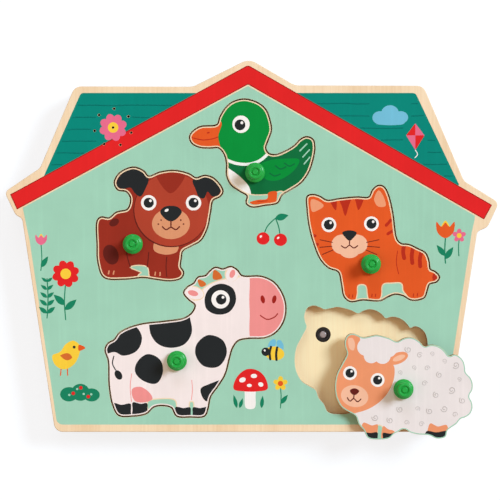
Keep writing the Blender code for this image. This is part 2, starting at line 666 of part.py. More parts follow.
def make_animal(name):
    """One lift-out animal with its knob and the screw that holds the knob from below."""
    place = Vector(ANIMALS[name][0])
    bottom = FACE_Z
    if name == "sheep":
        place += Vector(SHEEP_SHIFT)
        bottom = FACE_TOP + GAP
    piece = plate(animal_outline(name), [], bottom, PIECE_THICKNESS, place)
    keep(piece, f"{name}_piece", f"{name}_paint")
    head = (KNOB_SCREW_RADIUS, KNOB_SCREW_HEAD_RADIUS, KNOB_SCREW_HEAD_DEPTH)
    hole = screw_hole_profile(PIECE_THICKNESS + GAP, *head, SCREW_SINK)
    cut(piece, turned(hole, place, 16, bottom), f"{name}_knob_screw_hole")
    knob_bottom = bottom + PIECE_THICKNESS + GAP
    keep(turned(knob_profile(), place, 20, knob_bottom), f"{name}_knob", "green_knob")
    screw = turned(screw_profile(KNOB_SCREW_LENGTH, *head), place, 12, bottom + SCREW_SINK)
    keep(screw, f"{name}_knob_screw", "steel")


def make_sensor(name):
    """The light sensor in its black sleeve, both pushed up into the floor board from below."""
    place = sensor_place(name)
    bore = SENSOR_RADIUS + GAP
    collar_top = FLOOR_Z - GAP
    collar_bottom = collar_top - SLEEVE_COLLAR_THICKNESS
    sleeve_top = FLOOR_TOP - SLEEVE_SINK
    sleeve = [
        (SLEEVE_RADIUS, sleeve_top),
        (SLEEVE_RADIUS, collar_top),
        (SLEEVE_COLLAR_RADIUS, collar_top),
        (SLEEVE_COLLAR_RADIUS, collar_bottom),
        (bore, collar_bottom),
        (bore, sleeve_top),
        (SLEEVE_RADIUS, sleeve_top),
    ]
    keep(turned(sleeve, place, 16), f"{name}_sensor_sleeve", "black_plastic")
    lens_top = FLOOR_TOP - SENSOR_SINK
    flange_top = collar_bottom - GAP
    sensor = [
        (0.0, lens_top),
        (SENSOR_RADIUS * 0.6, lens_top - SENSOR_DOME * 0.2),
        (SENSOR_RADIUS, lens_top - SENSOR_DOME),
        (SENSOR_RADIUS, flange_top),
        (SENSOR_FLANGE_RADIUS, flange_top),
        (SENSOR_FLANGE_RADIUS, SENSOR_FLANGE_Z),
        (0.0, SENSOR_FLANGE_Z),
    ]
    keep(turned(sensor, place, 12), f"{name}_light_sensor", "sensor_lens")


def lead_route(start, end, low):
    """A lead that drops from start to the height low, runs over and climbs to end."""
    start = Vector(start)
    end = Vector(end)
    upward = Vector((0.0, 0.0, LEAD_BEND))
    run = Vector((end.x - start.x, end.y - start.y, 0.0)).normalized() * LEAD_BEND
    bends = [
        (Vector((start.x, start.y, low)), upward, run),
        (Vector((end.x, end.y, low)), -run, upward),
    ]
    route = [start]
    steps = 4
    for corner, before, after in bends:
        for step in range(steps + 1):
            t = step / steps
            route.append(corner + (1 - t)**2 * before + t**2 * after)
    route.append(end)
    return route


def make_sensor_lead(name):
    start = (*sensor_place(name), SENSOR_FLANGE_Z - GAP)
    end = (*pad_place(name), CIRCUIT_Z - GAP)
    low = SENSOR_FLANGE_Z - LEAD_DROP
    keep(tube(lead_route(start, end, low), LEAD_RADIUS), f"{name}_sensor_lead", "lead_cover")


def make_circuit():
    """The circuit board under the floor board, its chip and its two screws."""
    holes = [ring_of_points(p, CIRCUIT_SCREW_RADIUS + GAP, 12) for p in circuit_screw_places()]
    outline = rectangle(CIRCUIT_PLACE, CIRCUIT_LENGTH, CIRCUIT_WIDTH, CIRCUIT_CORNER)
    board = plate(outline, holes, CIRCUIT_Z, CIRCUIT_THICKNESS)
    keep(board, "circuit_board", "circuit_green")
    chip_top = CIRCUIT_Z - GAP
    chip = [
        (0.0, chip_top),
        (CHIP_RADIUS, chip_top),
        (CHIP_RADIUS * 0.9, chip_top - CHIP_HEIGHT * 0.6),
        (CHIP_RADIUS * 0.55, chip_top - CHIP_HEIGHT),
        (0.0, chip_top - CHIP_HEIGHT),
    ]
    keep(turned(chip, CIRCUIT_PLACE, 16), "sound_chip", "black_plastic")
    head_top = CIRCUIT_Z - GAP
    screw = [
        (0.0, FLOOR_Z + CIRCUIT_SCREW_BITE),
        (CIRCUIT_SCREW_RADIUS, FLOOR_Z + CIRCUIT_SCREW_BITE),
        (CIRCUIT_SCREW_RADIUS, head_top),
        (CIRCUIT_SCREW_HEAD_RADIUS, head_top),
        (CIRCUIT_SCREW_HEAD_RADIUS, head_top - CIRCUIT_SCREW_HEAD_HEIGHT),
        (0.0, head_top - CIRCUIT_SCREW_HEAD_HEIGHT),
    ]
    for number, place in enumerate(circuit_screw_places(), 1):
        keep(turned(screw, place, 12), f"circuit_screw_{number}", "steel")


def make_speaker():
    """The speaker, face up under the sound holes."""
    top = FLOOR_Z - GAP
    bottom = top - SPEAKER_HEIGHT
    rim_bottom = top - SPEAKER_RIM_HEIGHT
    mouth = SPEAKER_RADIUS - SPEAKER_RIM
    shoulder = MAGNET_RADIUS + SPEAKER_WALL
    frame = [
        (shoulder, bottom),
        (SPEAKER_NECK_RADIUS, bottom),
        (SPEAKER_NECK_RADIUS, bottom + SPEAKER_WALL),
        (MAGNET_RADIUS, bottom + SPEAKER_WALL),
        (mouth, top - SPEAKER_WALL),
        (mouth, top),
        (SPEAKER_RADIUS, top),
        (SPEAKER_RADIUS, rim_bottom),
        (SPEAKER_RADIUS - SPEAKER_WALL, rim_bottom),
        (shoulder, bottom),
    ]
    keep(turned(frame, SPEAKER_PLACE, 20), "speaker_frame", "black_plastic")
    rim = mouth - 2 * GAP
    high = top - GAP
    low = bottom + SPEAKER_WALL + 2 * GAP
    cone = [
        (0.0, low + 3 * CONE_THICKNESS),
        (CONE_CAP_RADIUS, low + 2 * CONE_THICKNESS),
        (rim, high),
        (rim, high - CONE_THICKNESS),
        (CONE_CAP_RADIUS, low),
        (0.0, low),
    ]
    keep(turned(cone, SPEAKER_PLACE, 20), "speaker_cone", "speaker_paper")
    magnet_top = bottom - GAP
    magnet = [
        (0.0, magnet_top),
        (MAGNET_RADIUS, magnet_top),
        (MAGNET_RADIUS, magnet_top - MAGNET_HEIGHT),
        (0.0, magnet_top - MAGNET_HEIGHT),
    ]
    keep(turned(magnet, SPEAKER_PLACE, 20), "speaker_magnet", "steel")
    turn = Vector(pad_place("speaker")) - Vector(SPEAKER_PLACE)
    edge = Vector(SPEAKER_PLACE) + turn.normalized() * (SPEAKER_RADIUS + GAP)
    start = (*edge, top - SPEAKER_RIM_HEIGHT / 2)
    end = (*pad_place("speaker"), CIRCUIT_Z - GAP)
    route = side_route(start, turn.normalized(), end, SPEAKER_LEAD_DROP)
    keep(tube(route, LEAD_RADIUS), "speaker_lead", "lead_cover")


def side_route(start, out, end, drop):
    """A lead that leaves start squarely along out and climbs to end from below, pulled down there by drop."""
    start = Vector(start)
    end = Vector(end)
    reach = (end - start).length * SIDE_LEAD_REACH
    first = start + Vector((*out, 0.0)) * reach
    second = end - Vector((0.0, 0.0, drop))
    route = []
    steps = 10
    for step in range(steps + 1):
        t = step / steps
        s = 1 - t
        route.append(s**3 * start + 3 * s**2 * t * first + 3 * s * t**2 * second + t**3 * end)
    return route


def bay_length():
    """Room along the cells: contact, cell and spring, with a gap between each two."""
    return CONTACT_THICKNESS + CELL_LENGTH + CELL_TIP_LENGTH + SPRING_LENGTH + 4 * GAP


def box_length():
    return BOX_WALL + bay_length() + BOX_SCREW_BLOCK


def box_width():
    return 2 * (2 * CELL_RADIUS) + 3 * GAP + 2 * BOX_WALL


def door_place():
    return BATTERY_PLACE


def door_length():
    return box_length() - 2 * BOX_LEDGE


def door_width():
    return box_width() - 2 * BOX_LEDGE


def door_screw_place():
    x = BATTERY_PLACE[0] + box_length() / 2 - BOX_SCREW_BLOCK / 2
    return (x, BATTERY_PLACE[1])


def bay_start():
    return BATTERY_PLACE[0] - box_length() / 2 + BOX_WALL


def make_battery_box():
    """The plastic box on the back board's inside, open towards the door."""
    bay_height = 2 * CELL_RADIUS + 2 * GAP
    height = bay_height - GAP + BOX_WALL
    x, y = BATTERY_PLACE
    box = block((box_length(), box_width(), height), (x, y, FRAME_Z + height / 2))
    keep(box, "battery_box", "black_plastic")
    bay_width = box_width() - 2 * BOX_WALL
    bay_centre = (bay_start() + bay_length() / 2, y, FRAME_Z - GAP + bay_height / 2)
    cut(box, block((bay_length(), bay_width, bay_height), bay_centre), "battery_bay")
    depth = DOOR_SCREW_LENGTH
    radius = DOOR_SCREW_RADIUS + GAP
    hole = [(0, depth), (radius, depth), (radius, -GAP), (0, -GAP)]
    cut(box, turned(hole, door_screw_place(), 12, FRAME_Z), "door_screw_pilot")


def cell_profile():
    """An AAA cell standing on its flat end, with its tip on top."""
    return [
        (0.0, CELL_LENGTH + CELL_TIP_LENGTH),
        (CELL_TIP_RADIUS, CELL_LENGTH + CELL_TIP_LENGTH),
        (CELL_TIP_RADIUS, CELL_LENGTH),
        (CELL_RADIUS, CELL_LENGTH),
        (CELL_RADIUS, 0.0),
        (0.0, 0.0),
    ]


def make_cells():
    """Two cells side by side, end for end, each between a contact and a spring."""
    y0 = BATTERY_PLACE[1]
    z = FRAME_Z + CELL_RADIUS
    low = bay_start()
    high = low + bay_length()
    for number, side in ((1, -1), (2, 1)):
        y = y0 + side * (CELL_RADIUS + GAP / 2)
        # side points from the spring to the contact along X
        spring_wall = low if side > 0 else high
        contact_wall = high if side > 0 else low
        contact_x = contact_wall - side * (GAP + CONTACT_THICKNESS / 2)
        contact = block((CONTACT_THICKNESS, CONTACT_SIZE, CONTACT_SIZE), (contact_x, y, z))
        keep(contact, f"battery_contact_{number}", "steel")
        cell = turned(cell_profile(), (0.0, 0.0), 20)
        foot_x = spring_wall + side * (GAP + SPRING_LENGTH + GAP)
        cell.location = (foot_x, y, z)
        cell.rotation_euler = (0.0, side * math.pi / 2, 0.0)
        keep(cell, f"battery_{number}", "cell_wrap")
        wire = []
        points_per_turn = 9
        length = SPRING_LENGTH - 2 * SPRING_WIRE_RADIUS
        count = SPRING_TURNS * points_per_turn
        for i in range(count + 1):
            angle = 2 * math.pi * i / points_per_turn
            along = GAP + SPRING_WIRE_RADIUS + length * i / count
            wire.append((spring_wall + side * along, y + SPRING_RADIUS * math.cos(angle),
                         z + SPRING_RADIUS * math.sin(angle)))
        keep(tube(wire, SPRING_WIRE_RADIUS, 1), f"battery_spring_{number}", "steel")


def make_battery_door():
    """The door in the back board's opening, held at one end by its screw."""
    bottom = BACK_THICKNESS - DOOR_THICKNESS
    outline = rectangle((0.0, 0.0), door_length(), door_width(), DOOR_CORNER)
    door = plate(outline, [], bottom, DOOR_THICKNESS, door_place())
    keep(door, "battery_door", "black_plastic")
    head = (DOOR_SCREW_RADIUS, DOOR_SCREW_HEAD_RADIUS, DOOR_SCREW_HEAD_DEPTH)
    place = door_screw_place()
    hole = screw_hole_profile(DOOR_THICKNESS + GAP, *head, SCREW_SINK)
    cut(door, turned(hole, place, 12, bottom), "door_screw_hole")
    screw = turned(screw_profile(DOOR_SCREW_LENGTH, *head), place, 12, bottom + SCREW_SINK)
    keep(screw, "battery_door_screw", "steel")


def make_battery_lead():
    x = BATTERY_PLACE[0] - box_length() / 2 - GAP
    start = (x, BATTERY_PLACE[1] - box_width() / 4, FRAME_Z + CELL_RADIUS)
    end = (*pad_place("battery"), CIRCUIT_Z - GAP)
    drop = (end[2] - start[2]) * SIDE_LEAD_CLIMB
    keep(tube(side_route(start, (-1.0, 0.0), end, drop), LEAD_RADIUS), "battery_lead", "lead_cover")


make_face_board()
make_floor_board()
make_side_frame()
make_back_board()
make_back_screws()
for animal in ANIMALS:
    make_animal(animal)
    make_sensor(animal)
    make_sensor_lead(animal)
make_circuit()
make_speaker()
make_battery_box()
make_cells()
make_battery_door()
make_battery_lead()
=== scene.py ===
# %% [markdown]
# # A wooden sound puzzle
# The toy is a flat wooden box in the shape of a house. Its face board has five cut-outs with a lift-out
# farm animal in each, and every animal has a round green knob. Lifting one uncovers a light sensor, and a
# small circuit inside plays that animal's sound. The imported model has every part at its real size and
# place. This file gives those parts their rounded wood, their printed faces and their materials.

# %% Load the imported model
import math

import bpy
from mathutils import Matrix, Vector
from mathutils.geometry import delaunay_2d_cdt


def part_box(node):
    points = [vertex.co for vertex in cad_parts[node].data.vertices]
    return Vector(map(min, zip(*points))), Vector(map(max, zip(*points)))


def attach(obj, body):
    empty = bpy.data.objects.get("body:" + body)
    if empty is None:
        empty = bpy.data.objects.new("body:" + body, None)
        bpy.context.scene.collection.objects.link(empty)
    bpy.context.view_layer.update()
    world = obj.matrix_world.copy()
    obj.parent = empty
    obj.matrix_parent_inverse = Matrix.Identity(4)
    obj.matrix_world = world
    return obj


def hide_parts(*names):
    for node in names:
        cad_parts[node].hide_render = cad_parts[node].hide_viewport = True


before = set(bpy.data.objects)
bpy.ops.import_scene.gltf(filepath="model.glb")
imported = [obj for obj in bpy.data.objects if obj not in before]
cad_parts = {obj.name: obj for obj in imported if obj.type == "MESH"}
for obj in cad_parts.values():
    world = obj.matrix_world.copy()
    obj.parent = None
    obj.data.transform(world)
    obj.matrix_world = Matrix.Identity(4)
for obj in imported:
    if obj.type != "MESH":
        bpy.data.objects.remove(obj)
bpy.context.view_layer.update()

# %% [markdown]
# ## Working in millimetres
# Toy makers draw such a board in millimetres, so every outline and height here is in millimetres too, and
# only the last step of making a mesh turns it into metres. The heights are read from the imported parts, so a
# piece made here always lies where its part lies.

# %% Units, and heights of the layers
MM = 0.001


def height_range(node):
    """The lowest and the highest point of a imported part, in millimetres."""
    low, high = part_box(node)
    return low.z / MM, high.z / MM


LAYERS = {node: height_range(node) for node in ("back_board", "side_frame", "floor_board", "face_board")}
for node, (low, high) in LAYERS.items():
    print(f"{node}: from {low:.1f} to {high:.1f} mm")

# %% [markdown]
# ## Outlines
# A saw or a laser follows an outline, so the whole toy starts from closed lines. Straight-sided shapes such
# as the house are best given as corners with a radius each. Animals are best given as points along a smooth
# curve, which is how a maker bends a spline through marks on the wood. The curve used here spreads its
# speed by the distance between the points, which keeps it from overshooting where the points lie close
# together.

# %% Outlines from corners and from points
ARC_STEPS = 10      # pieces of each rounded corner
CURVE_STEPS = 5     # pieces between two points of a curve


def signed_area(outline):
    return sum(a.cross(b) for a, b in zip(outline, outline[1:] + outline[:1])) / 2


def anticlockwise(outline):
    points = [Vector(point[:2]) for point in outline]
    return points if signed_area(points) > 0 else points[::-1]


def cornered(corners, steps=ARC_STEPS):
    """Closed outline through (x, y, radius) corners, each turned with an arc."""
    outline = []
    for i, (x, y, radius) in enumerate(corners):
        here = Vector((x, y))
        before = (Vector(corners[i - 1][:2]) - here).normalized()
        after = (Vector(corners[(i + 1) % len(corners)][:2]) - here).normalized()
        half = before.angle(after) / 2
        centre = here + (before + after).normalized() * (radius / math.sin(half))
        start = here + before * (radius / math.tan(half)) - centre
        turn = start.angle_signed(here + after * (radius / math.tan(half)) - centre)
        for step in range(steps + 1):
            angle = math.atan2(start.y, start.x) - turn * step / steps
            outline.append(centre + radius * Vector((math.cos(angle), math.sin(angle))))
    return anticlockwise(outline)


def between(p0, p1, p2, p3, steps):
    """Points of the smooth curve from p1 up to p2, which p0 and p3 steer."""
    d0, d1, d2 = (max(math.sqrt((b - a).length), 1e-6) for a, b in ((p0, p1), (p1, p2), (p2, p3)))
    m1 = ((p1 - p0) / d0 - (p2 - p0) / (d0 + d1) + (p2 - p1) / d1) * d1
    m2 = ((p2 - p1) / d1 - (p3 - p1) / (d1 + d2) + (p3 - p2) / d2) * d1
    shares = [step / steps for step in range(steps)]
    return [(2 * t**3 - 3 * t**2 + 1) * p1 + (t**3 - 2 * t**2 + t) * m1
            + (3 * t**2 - 2 * t**3) * p2 + (t**3 - t**2) * m2 for t in shares]


def curved(points, steps=CURVE_STEPS):
    """Closed smooth outline through the points."""
    marks = [Vector(point) for point in points]
    count = len(marks)
    outline = []
    for i in range(count):
        outline += between(marks[i - 1], marks[i], marks[(i + 1) % count], marks[(i + 2) % count], steps)
    return anticlockwise(outline)


def outward(outline):
    """The mitre at each point of an anticlockwise outline, pointing away from its inside."""
    mitres = []
    for i, here in enumerate(outline):
        along_in = (here - outline[i - 1]).normalized()
        along_out = (outline[(i + 1) % len(outline)] - here).normalized()
        normal = Vector((along_in.y + along_out.y, -along_in.x - along_out.x)).normalized()
        mitres.append(normal / max(normal.dot(Vector((along_in.y, -along_in.x))), 0.5))
    return mitres


def grown(outline, distance):
    """The outline moved outwards by distance, or inwards where distance is negative."""
    points = anticlockwise(outline)
    return [point + mitre * distance for point, mitre in zip(points, outward(points))]


def moved(outline, place):
    return [Vector(point) + Vector(place) for point in outline]


def ring(place, radius, count=48):
    turns = [2 * math.pi * i / count for i in range(count)]
    return [Vector(place) + radius * Vector((math.cos(a), math.sin(a))) for a in turns]

# %% [markdown]
# ## The house and the animals
# These are the outlines that the model's boards and animals have, taken over point by point, so that the
# finer pieces made here fit the same cut-outs. An animal's points are counted from the middle of its knob.

# %% The house, corner by corner from its base
HOUSE = [
    (-119.1, -113.6, 5.5), (120.2, -113.6, 5.5), (138.9, 8.8, 3.5), (145.3, 11.6, 6.0), (152.2, 26.5, 3.5),
    (130.8, 39.8, 6.0), (105.9, 98.0, 6.0), (27.5, 98.2, 10.0), (-0.6, 114.5, 9.0), (-34.8, 97.4, 10.0),
    (-107.1, 97.6, 6.0), (-128.3, 47.7, 6.0), (-150.1, 33.0, 3.5), (-143.2, 18.8, 6.0), (-139.3, 17.0, 3.5),
]
house = cornered(HOUSE)
print("house outline:", len(house), "points")

# %% The five animals
DOG = [
    (-21.5, 14), (-19.5, 16), (-14.5, 15.5), (-10, 19), (-3, 21), (-1, 28), (-4, 32.5), (-9, 33.5),
    (-11, 37.5), (-8, 43), (0, 46.5), (6, 44.5), (9.5, 41), (16.5, 43.5), (25.5, 44.5), (34, 42.5),
    (38.5, 40), (44, 41.5), (49.5, 39.5), (54.5, 32.5), (53, 29.5), (48.5, 27), (47, 20), (45, 10),
    (41, 2.5), (35, -1), (30, -4), (29, -9), (28.5, -14), (30.5, -17.5), (29, -20.5), (23, -22),
    (13.5, -21), (6.5, -20), (-5, -21), (-17.5, -20), (-21, -11), (-21.5, 0),
]
DUCK = [
    (-39.5, 22.5), (-34, 27.5), (-23, 29), (-21, 34), (-17.5, 39.5), (-13, 43), (-6.5, 44.5),
    (1, 42.5), (6, 38.5), (8.5, 32.5), (9.5, 26), (7.5, 20), (6, 15), (8, 11.5), (12, 10.5),
    (17, 12), (24, 16), (28, 20), (31.5, 21.5), (35, 20), (36, 16), (35, 8.5), (32, 0), (27.5, -6),
    (21.5, -10), (16, -13.5), (13.5, -18), (6, -19.5), (-2, -20.5), (-5, -18.5), (-4.5, -14),
    (-9, -11), (-14.5, -7), (-17, -1.5), (-17, 5.5), (-18.5, 11.5), (-22, 15.5), (-28, 15.5),
    (-34, 16), (-38.5, 18.5),
]
CAT = [
    (-38.5, 41), (-35.5, 42), (-31.5, 41), (-27, 38.5), (-19, 39.5), (-8.5, 40.5), (-1, 40.5),
    (1.5, 45), (4.5, 47.5), (7.5, 47), (10, 43), (13, 31), (15.5, 15), (18.5, 12), (23, 11.5),
    (28.5, 9), (33, 6.5), (35, 2), (36, -3.5), (39, -5), (41.5, -8), (40, -10.5), (35.5, -12),
    (34, -16), (32.5, -20), (29, -21.5), (24.5, -21.5), (20, -19), (15, -18), (10.5, -19.5),
    (5.5, -22), (-5, -21.5), (-12.5, -22.5), (-16, -19.5), (-17.5, -12), (-19.5, -4.5),
    (-25.5, -2), (-30, 2.5), (-33.5, 10), (-37, 22), (-38.5, 33.5),
]
COW = [
    (-43.5, 6.5), (-42, 10), (-38, 12.5), (-35, 16.5), (-29.5, 19.5), (-21, 22), (-8, 23.5),
    (4.5, 25.5), (9.5, 29), (11.5, 34), (7.5, 37.5), (4.5, 41.5), (6.5, 44.5), (10.5, 47),
    (13, 50.5), (17.5, 51.5), (20.5, 54.5), (23.5, 56.5), (28, 55.5), (33, 57), (36.5, 55),
    (39.5, 51.5), (51.5, 51), (59, 47.5), (64, 40.5), (66, 33.5), (65, 25), (60.5, 18),
    (54, 14.5), (43.5, 14), (37, 12.5), (33.5, 8), (31.5, 1.5), (29, -8), (24.5, -15.5),
    (20, -22), (18.5, -29), (16.5, -33.5), (8, -34), (0, -33.5), (-3, -28.5), (-9, -27),
    (-14.5, -28), (-19, -32), (-27.5, -33.5), (-35.5, -33), (-39, -26.5), (-41, -15), (-41.5, 0),
]
SHEEP = [
    (-35.6, 28.5), (-34, 32.4), (-31, 33.6), (-28, 32.8), (-24.5, 31.3), (-20.5, 31.9), (-16.5, 32.7),
    (-12.5, 32), (-8, 30.6), (-4.9, 29), (-3, 28.9), (-0.3, 30.4), (3, 31.3), (6.8, 30.6), (10.2, 28.4),
    (12.1, 26.2), (13.7, 25.8), (16, 26.6), (19.4, 26.5), (23, 24.9), (25.8, 22.2), (27.2, 20.3),
    (28.8, 20), (31, 20.9), (34, 19.8), (36.6, 16.8), (37.6, 13), (37.8, 10.5), (38.8, 9), (40.8, 6.9),
    (42.2, 3.2), (41.9, -0.8), (40.4, -3.4), (40.2, -5.1), (41.6, -7.8), (42.1, -11.4), (40.6, -15.2),
    (37.6, -17.3), (35.2, -18.1), (33.9, -19.3), (32.4, -21.2), (29.4, -23.3), (27, -25.2),
    (25.6, -29.2), (20.5, -30.2), (15.6, -28.2), (9, -27.7), (4.6, -26.6), (1.4, -24.7), (-0.6, -24.6),
    (-3, -26), (-5.6, -27.4), (-8.5, -30), (-15.5, -30.8), (-21.5, -29.8), (-24, -25), (-27, -21.5),
    (-29, -16.5), (-33, -14), (-37.5, -11), (-40.5, -5.5), (-41.5, 0.5), (-40.5, 8.5), (-37, 15.5),
    (-34.2, 21.5), (-35.2, 25),
]
ANIMALS = {name: curved(points) for name, points in
           (("dog", DOG), ("duck", DUCK), ("cat", CAT), ("cow", COW), ("sheep", SHEEP))}
RECESSES = {"dog": (-71.5, 1.2), "duck": (3.1, 44.8), "cat": (73.8, -11.0), "cow": (-44.6, -70.0),
            "sheep": (69.8, -70.9)}


def middle(part):
    """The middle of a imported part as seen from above, in millimetres."""
    low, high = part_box(part)
    return ((low.x + high.x) / 2 / MM, (low.y + high.y) / 2 / MM)


KNOBS = {name: middle(f"{name}_knob") for name in ANIMALS}     # the sheep lies beside its recess
for name, place in KNOBS.items():
    print(name, "knob at", [round(v, 1) for v in place], "outline of", len(ANIMALS[name]), "points")

# %% [markdown]
# ## Building node trees
# Materials and Geometry Nodes are both trees of nodes. One helper adds a node, sets its options and feeds
# each input with either a plain value or another node's output, so a tree reads from top to bottom like a
# recipe. What every tree needs again and again has a short helper of its own: noise, a sum, and one range
# of values spread over another.

# %% Helpers for nodes
def node(tree, kind, inputs=(), **options):
    made = tree.nodes.new(kind)
    for option, value in options.items():
        setattr(made, option, value)
    for socket, value in dict(inputs).items():
        if isinstance(value, bpy.types.NodeSocket):
            tree.links.new(value, made.inputs[socket])
        else:
            made.inputs[socket].default_value = value
    return made


def noise(tree, place, scale, detail, **more):
    """Soft random values from nought to one that change from place to place."""
    inputs = {"Vector": place, "Scale": scale, "Detail": detail, **more}
    return node(tree, "ShaderNodeTexNoise", inputs).outputs["Fac"]


def maths(tree, kind, *values):
    """The result of one sum, such as ADD or MULTIPLY."""
    return node(tree, "ShaderNodeMath", dict(enumerate(values)), operation=kind).outputs[0]


def spread(tree, value, low, high, to_low, to_high, **options):
    """A value's range from low to high, spread over another range."""
    inputs = {"Value": value, "From Min": low, "From Max": high, "To Min": to_low, "To Max": to_high}
    return node(tree, "ShaderNodeMapRange", inputs, **options).outputs[0]


def stretched(tree, place, factors):
    """A place with each of its coordinates multiplied by a factor."""
    return node(tree, "ShaderNodeVectorMath", {0: place, 1: factors}, operation="MULTIPLY").outputs[0]


def brightened(tree, colour, level):
    """A colour made lighter or darker by a level about one."""
    return node(tree, "ShaderNodeVectorMath", {0: colour, "Scale": level}, operation="SCALE").outputs[0]


def mixed(tree, share, first, second):
    """The colour between two colours, or two outputs that carry one."""
    return node(tree, "ShaderNodeMix", {0: share, 6: first, 7: second}, data_type="RGBA").outputs[2]


def new_tree(name, kind, inputs, outputs):
    """A node tree with named sockets, with what it is given and what it hands out."""
    tree = bpy.data.node_groups.new(name, kind)
    for label, socket, value in inputs:
        made = tree.interface.new_socket(label, in_out="INPUT", socket_type=socket)
        if value is not None:
            made.default_value = value
    for label, socket in outputs:
        tree.interface.new_socket(label, in_out="OUTPUT", socket_type=socket)
    return tree, tree.nodes.new("NodeGroupInput").outputs, tree.nodes.new("NodeGroupOutput").inputs


def hand_out(tree, result, **values):
    for socket, value in values.items():
        tree.links.new(value, result[socket])
    print(f"{tree.name}: {len(tree.nodes)} nodes")


FLOAT, COLOUR, VECTOR = "NodeSocketFloat", "NodeSocketColor", "NodeSocketVector"
SURFACE = [("Color", COLOUR), ("Height", FLOAT), ("Roughness", FLOAT)]     # what a surface's group hands out


def paint(red, green, blue):
    """A colour from its values on a colour card, 0 to 255, as the light that it sends back."""
    shares = [value / 255 for value in (red, green, blue)]
    return (*[s / 12.92 if s <= 0.04045 else ((s + 0.055) / 1.055)**2.4 for s in shares], 1.0)

# %% [markdown]
# ## Wood grain
# Birch is pale, with fine fibres that run one way and short darker flecks. Grain could be painted on a
# picture, but a formula works at any size and needs no file. Noise that is squeezed across the fibres and
# stretched along them gives lines, and a slower noise gives the broad drift in tone that a sheet of veneer
# has. It is a node group, because every bare face of the boards and the animals uses it with its own
# values.

# %% A group for grain
grain, given, result = new_tree(
    "wood_grain", "ShaderNodeTree",
    [("Place", VECTOR, None), ("Pale", COLOUR, paint(248, 221, 185)), ("Dark", COLOUR, paint(224, 184, 136)),
     ("Across", FLOAT, 900.0), ("Along", FLOAT, 26.0), ("Strength", FLOAT, 0.5)], SURFACE)
factors = node(grain, "ShaderNodeCombineXYZ",
               {"X": given["Across"], "Y": given["Along"], "Z": given["Across"]})
fibres_at = stretched(grain, given["Place"], factors.outputs[0])
fibres = noise(grain, fibres_at, 1.0, 5.0, Roughness=0.62)
drift = noise(grain, fibres_at, 0.06, 2.0)
mask = spread(grain, maths(grain, "ADD", fibres, drift), 0.78, 1.28, 0.0, 1.0)
share = maths(grain, "MULTIPLY", mask, given["Strength"])
hand_out(grain, result, Color=mixed(grain, share, given["Pale"], given["Dark"]), Height=fibres,
         Roughness=spread(grain, fibres, 0.0, 1.0, 0.62, 0.44))

# %% [markdown]
# ## Cut edges
# Plywood shows its layers wherever it is cut: pale ones where the fibres run along the cut, darker ones
# where their ends show. The layers depend only on the height above the board's underside, so a wave over
# the height gives them. A laser browns the cut too, in drifting patches: a slow noise says where, and an
# amount says how much. Sanding takes nearly all of it off the outer sides, and the recesses and the animals
# keep it.

# %% A group for the layers in a cut edge
layers, given, result = new_tree(
    "plywood_layers", "ShaderNodeTree",
    [("Place", VECTOR, None), ("Pale", COLOUR, paint(240, 208, 160)), ("Dark", COLOUR, paint(206, 160, 108)),
     ("Layer", FLOAT, 0.0012), ("Burn", FLOAT, 0.1)], SURFACE)
height = node(layers, "ShaderNodeSeparateXYZ", {0: given["Place"]}).outputs["Z"]
swing = maths(layers, "PINGPONG", maths(layers, "DIVIDE", height, given["Layer"]), 1.0)
sharp = spread(layers, swing, 0.42, 0.58, 0.0, 1.0, interpolation_type="SMOOTHSTEP")
speck = noise(layers, given["Place"], 2600.0, 3.0)
ply = mixed(layers, maths(layers, "MULTIPLY", sharp, speck), given["Pale"], given["Dark"])
scorch = spread(layers, noise(layers, given["Place"], 90.0, 2.0), 0.35, 0.75, 0.0, given["Burn"])
hand_out(layers, result, Color=mixed(layers, scorch, ply, paint(92, 56, 22)), Height=speck,
         Roughness=spread(layers, speck, 0.0, 1.0, 0.6, 0.85))

# %% [markdown]
# ## Printed ink
# The pictures are screen printed in flat colours and then varnished. Real ink is never quite flat: it sinks
# a little along the fibres, so faint paler streaks show, and the varnish makes it satin. The group takes
# any ink colour and gives it those streaks, a fine mottle and an uneven sheen. A streak only makes the
# ink's own colour lighter, so black ink stays black.

# %% A group for ink on wood
ink, given, result = new_tree(
    "printed_on_wood", "ShaderNodeTree",
    [("Place", VECTOR, None), ("Ink", COLOUR, paint(160, 208, 183)), ("Streaks", FLOAT, 0.06)], SURFACE)
fibres = noise(ink, stretched(ink, given["Place"], (420.0, 14.0, 420.0)), 1.0, 4.0, Roughness=0.6)
thin = spread(ink, fibres, 0.5, 0.78, 0.0, 1.0)
mottle = noise(ink, given["Place"], 55.0, 4.0)
level = maths(ink, "MULTIPLY", maths(ink, "MULTIPLY_ADD", thin, given["Streaks"], 1.0),
              spread(ink, mottle, 0.3, 0.7, 0.97, 1.03))
hand_out(ink, result, Color=brightened(ink, given["Ink"], level), Height=fibres,
         Roughness=spread(ink, mottle, 0.0, 1.0, 0.36, 0.54))

# %% [markdown]
# ## Handling
# Paint, plastic and metal that children handle get small smudges and soft wear. This group takes any colour
# and gives it a slight drift in tone, an uneven sheen, and a fine surface height such as moulding or
# brushing leaves.

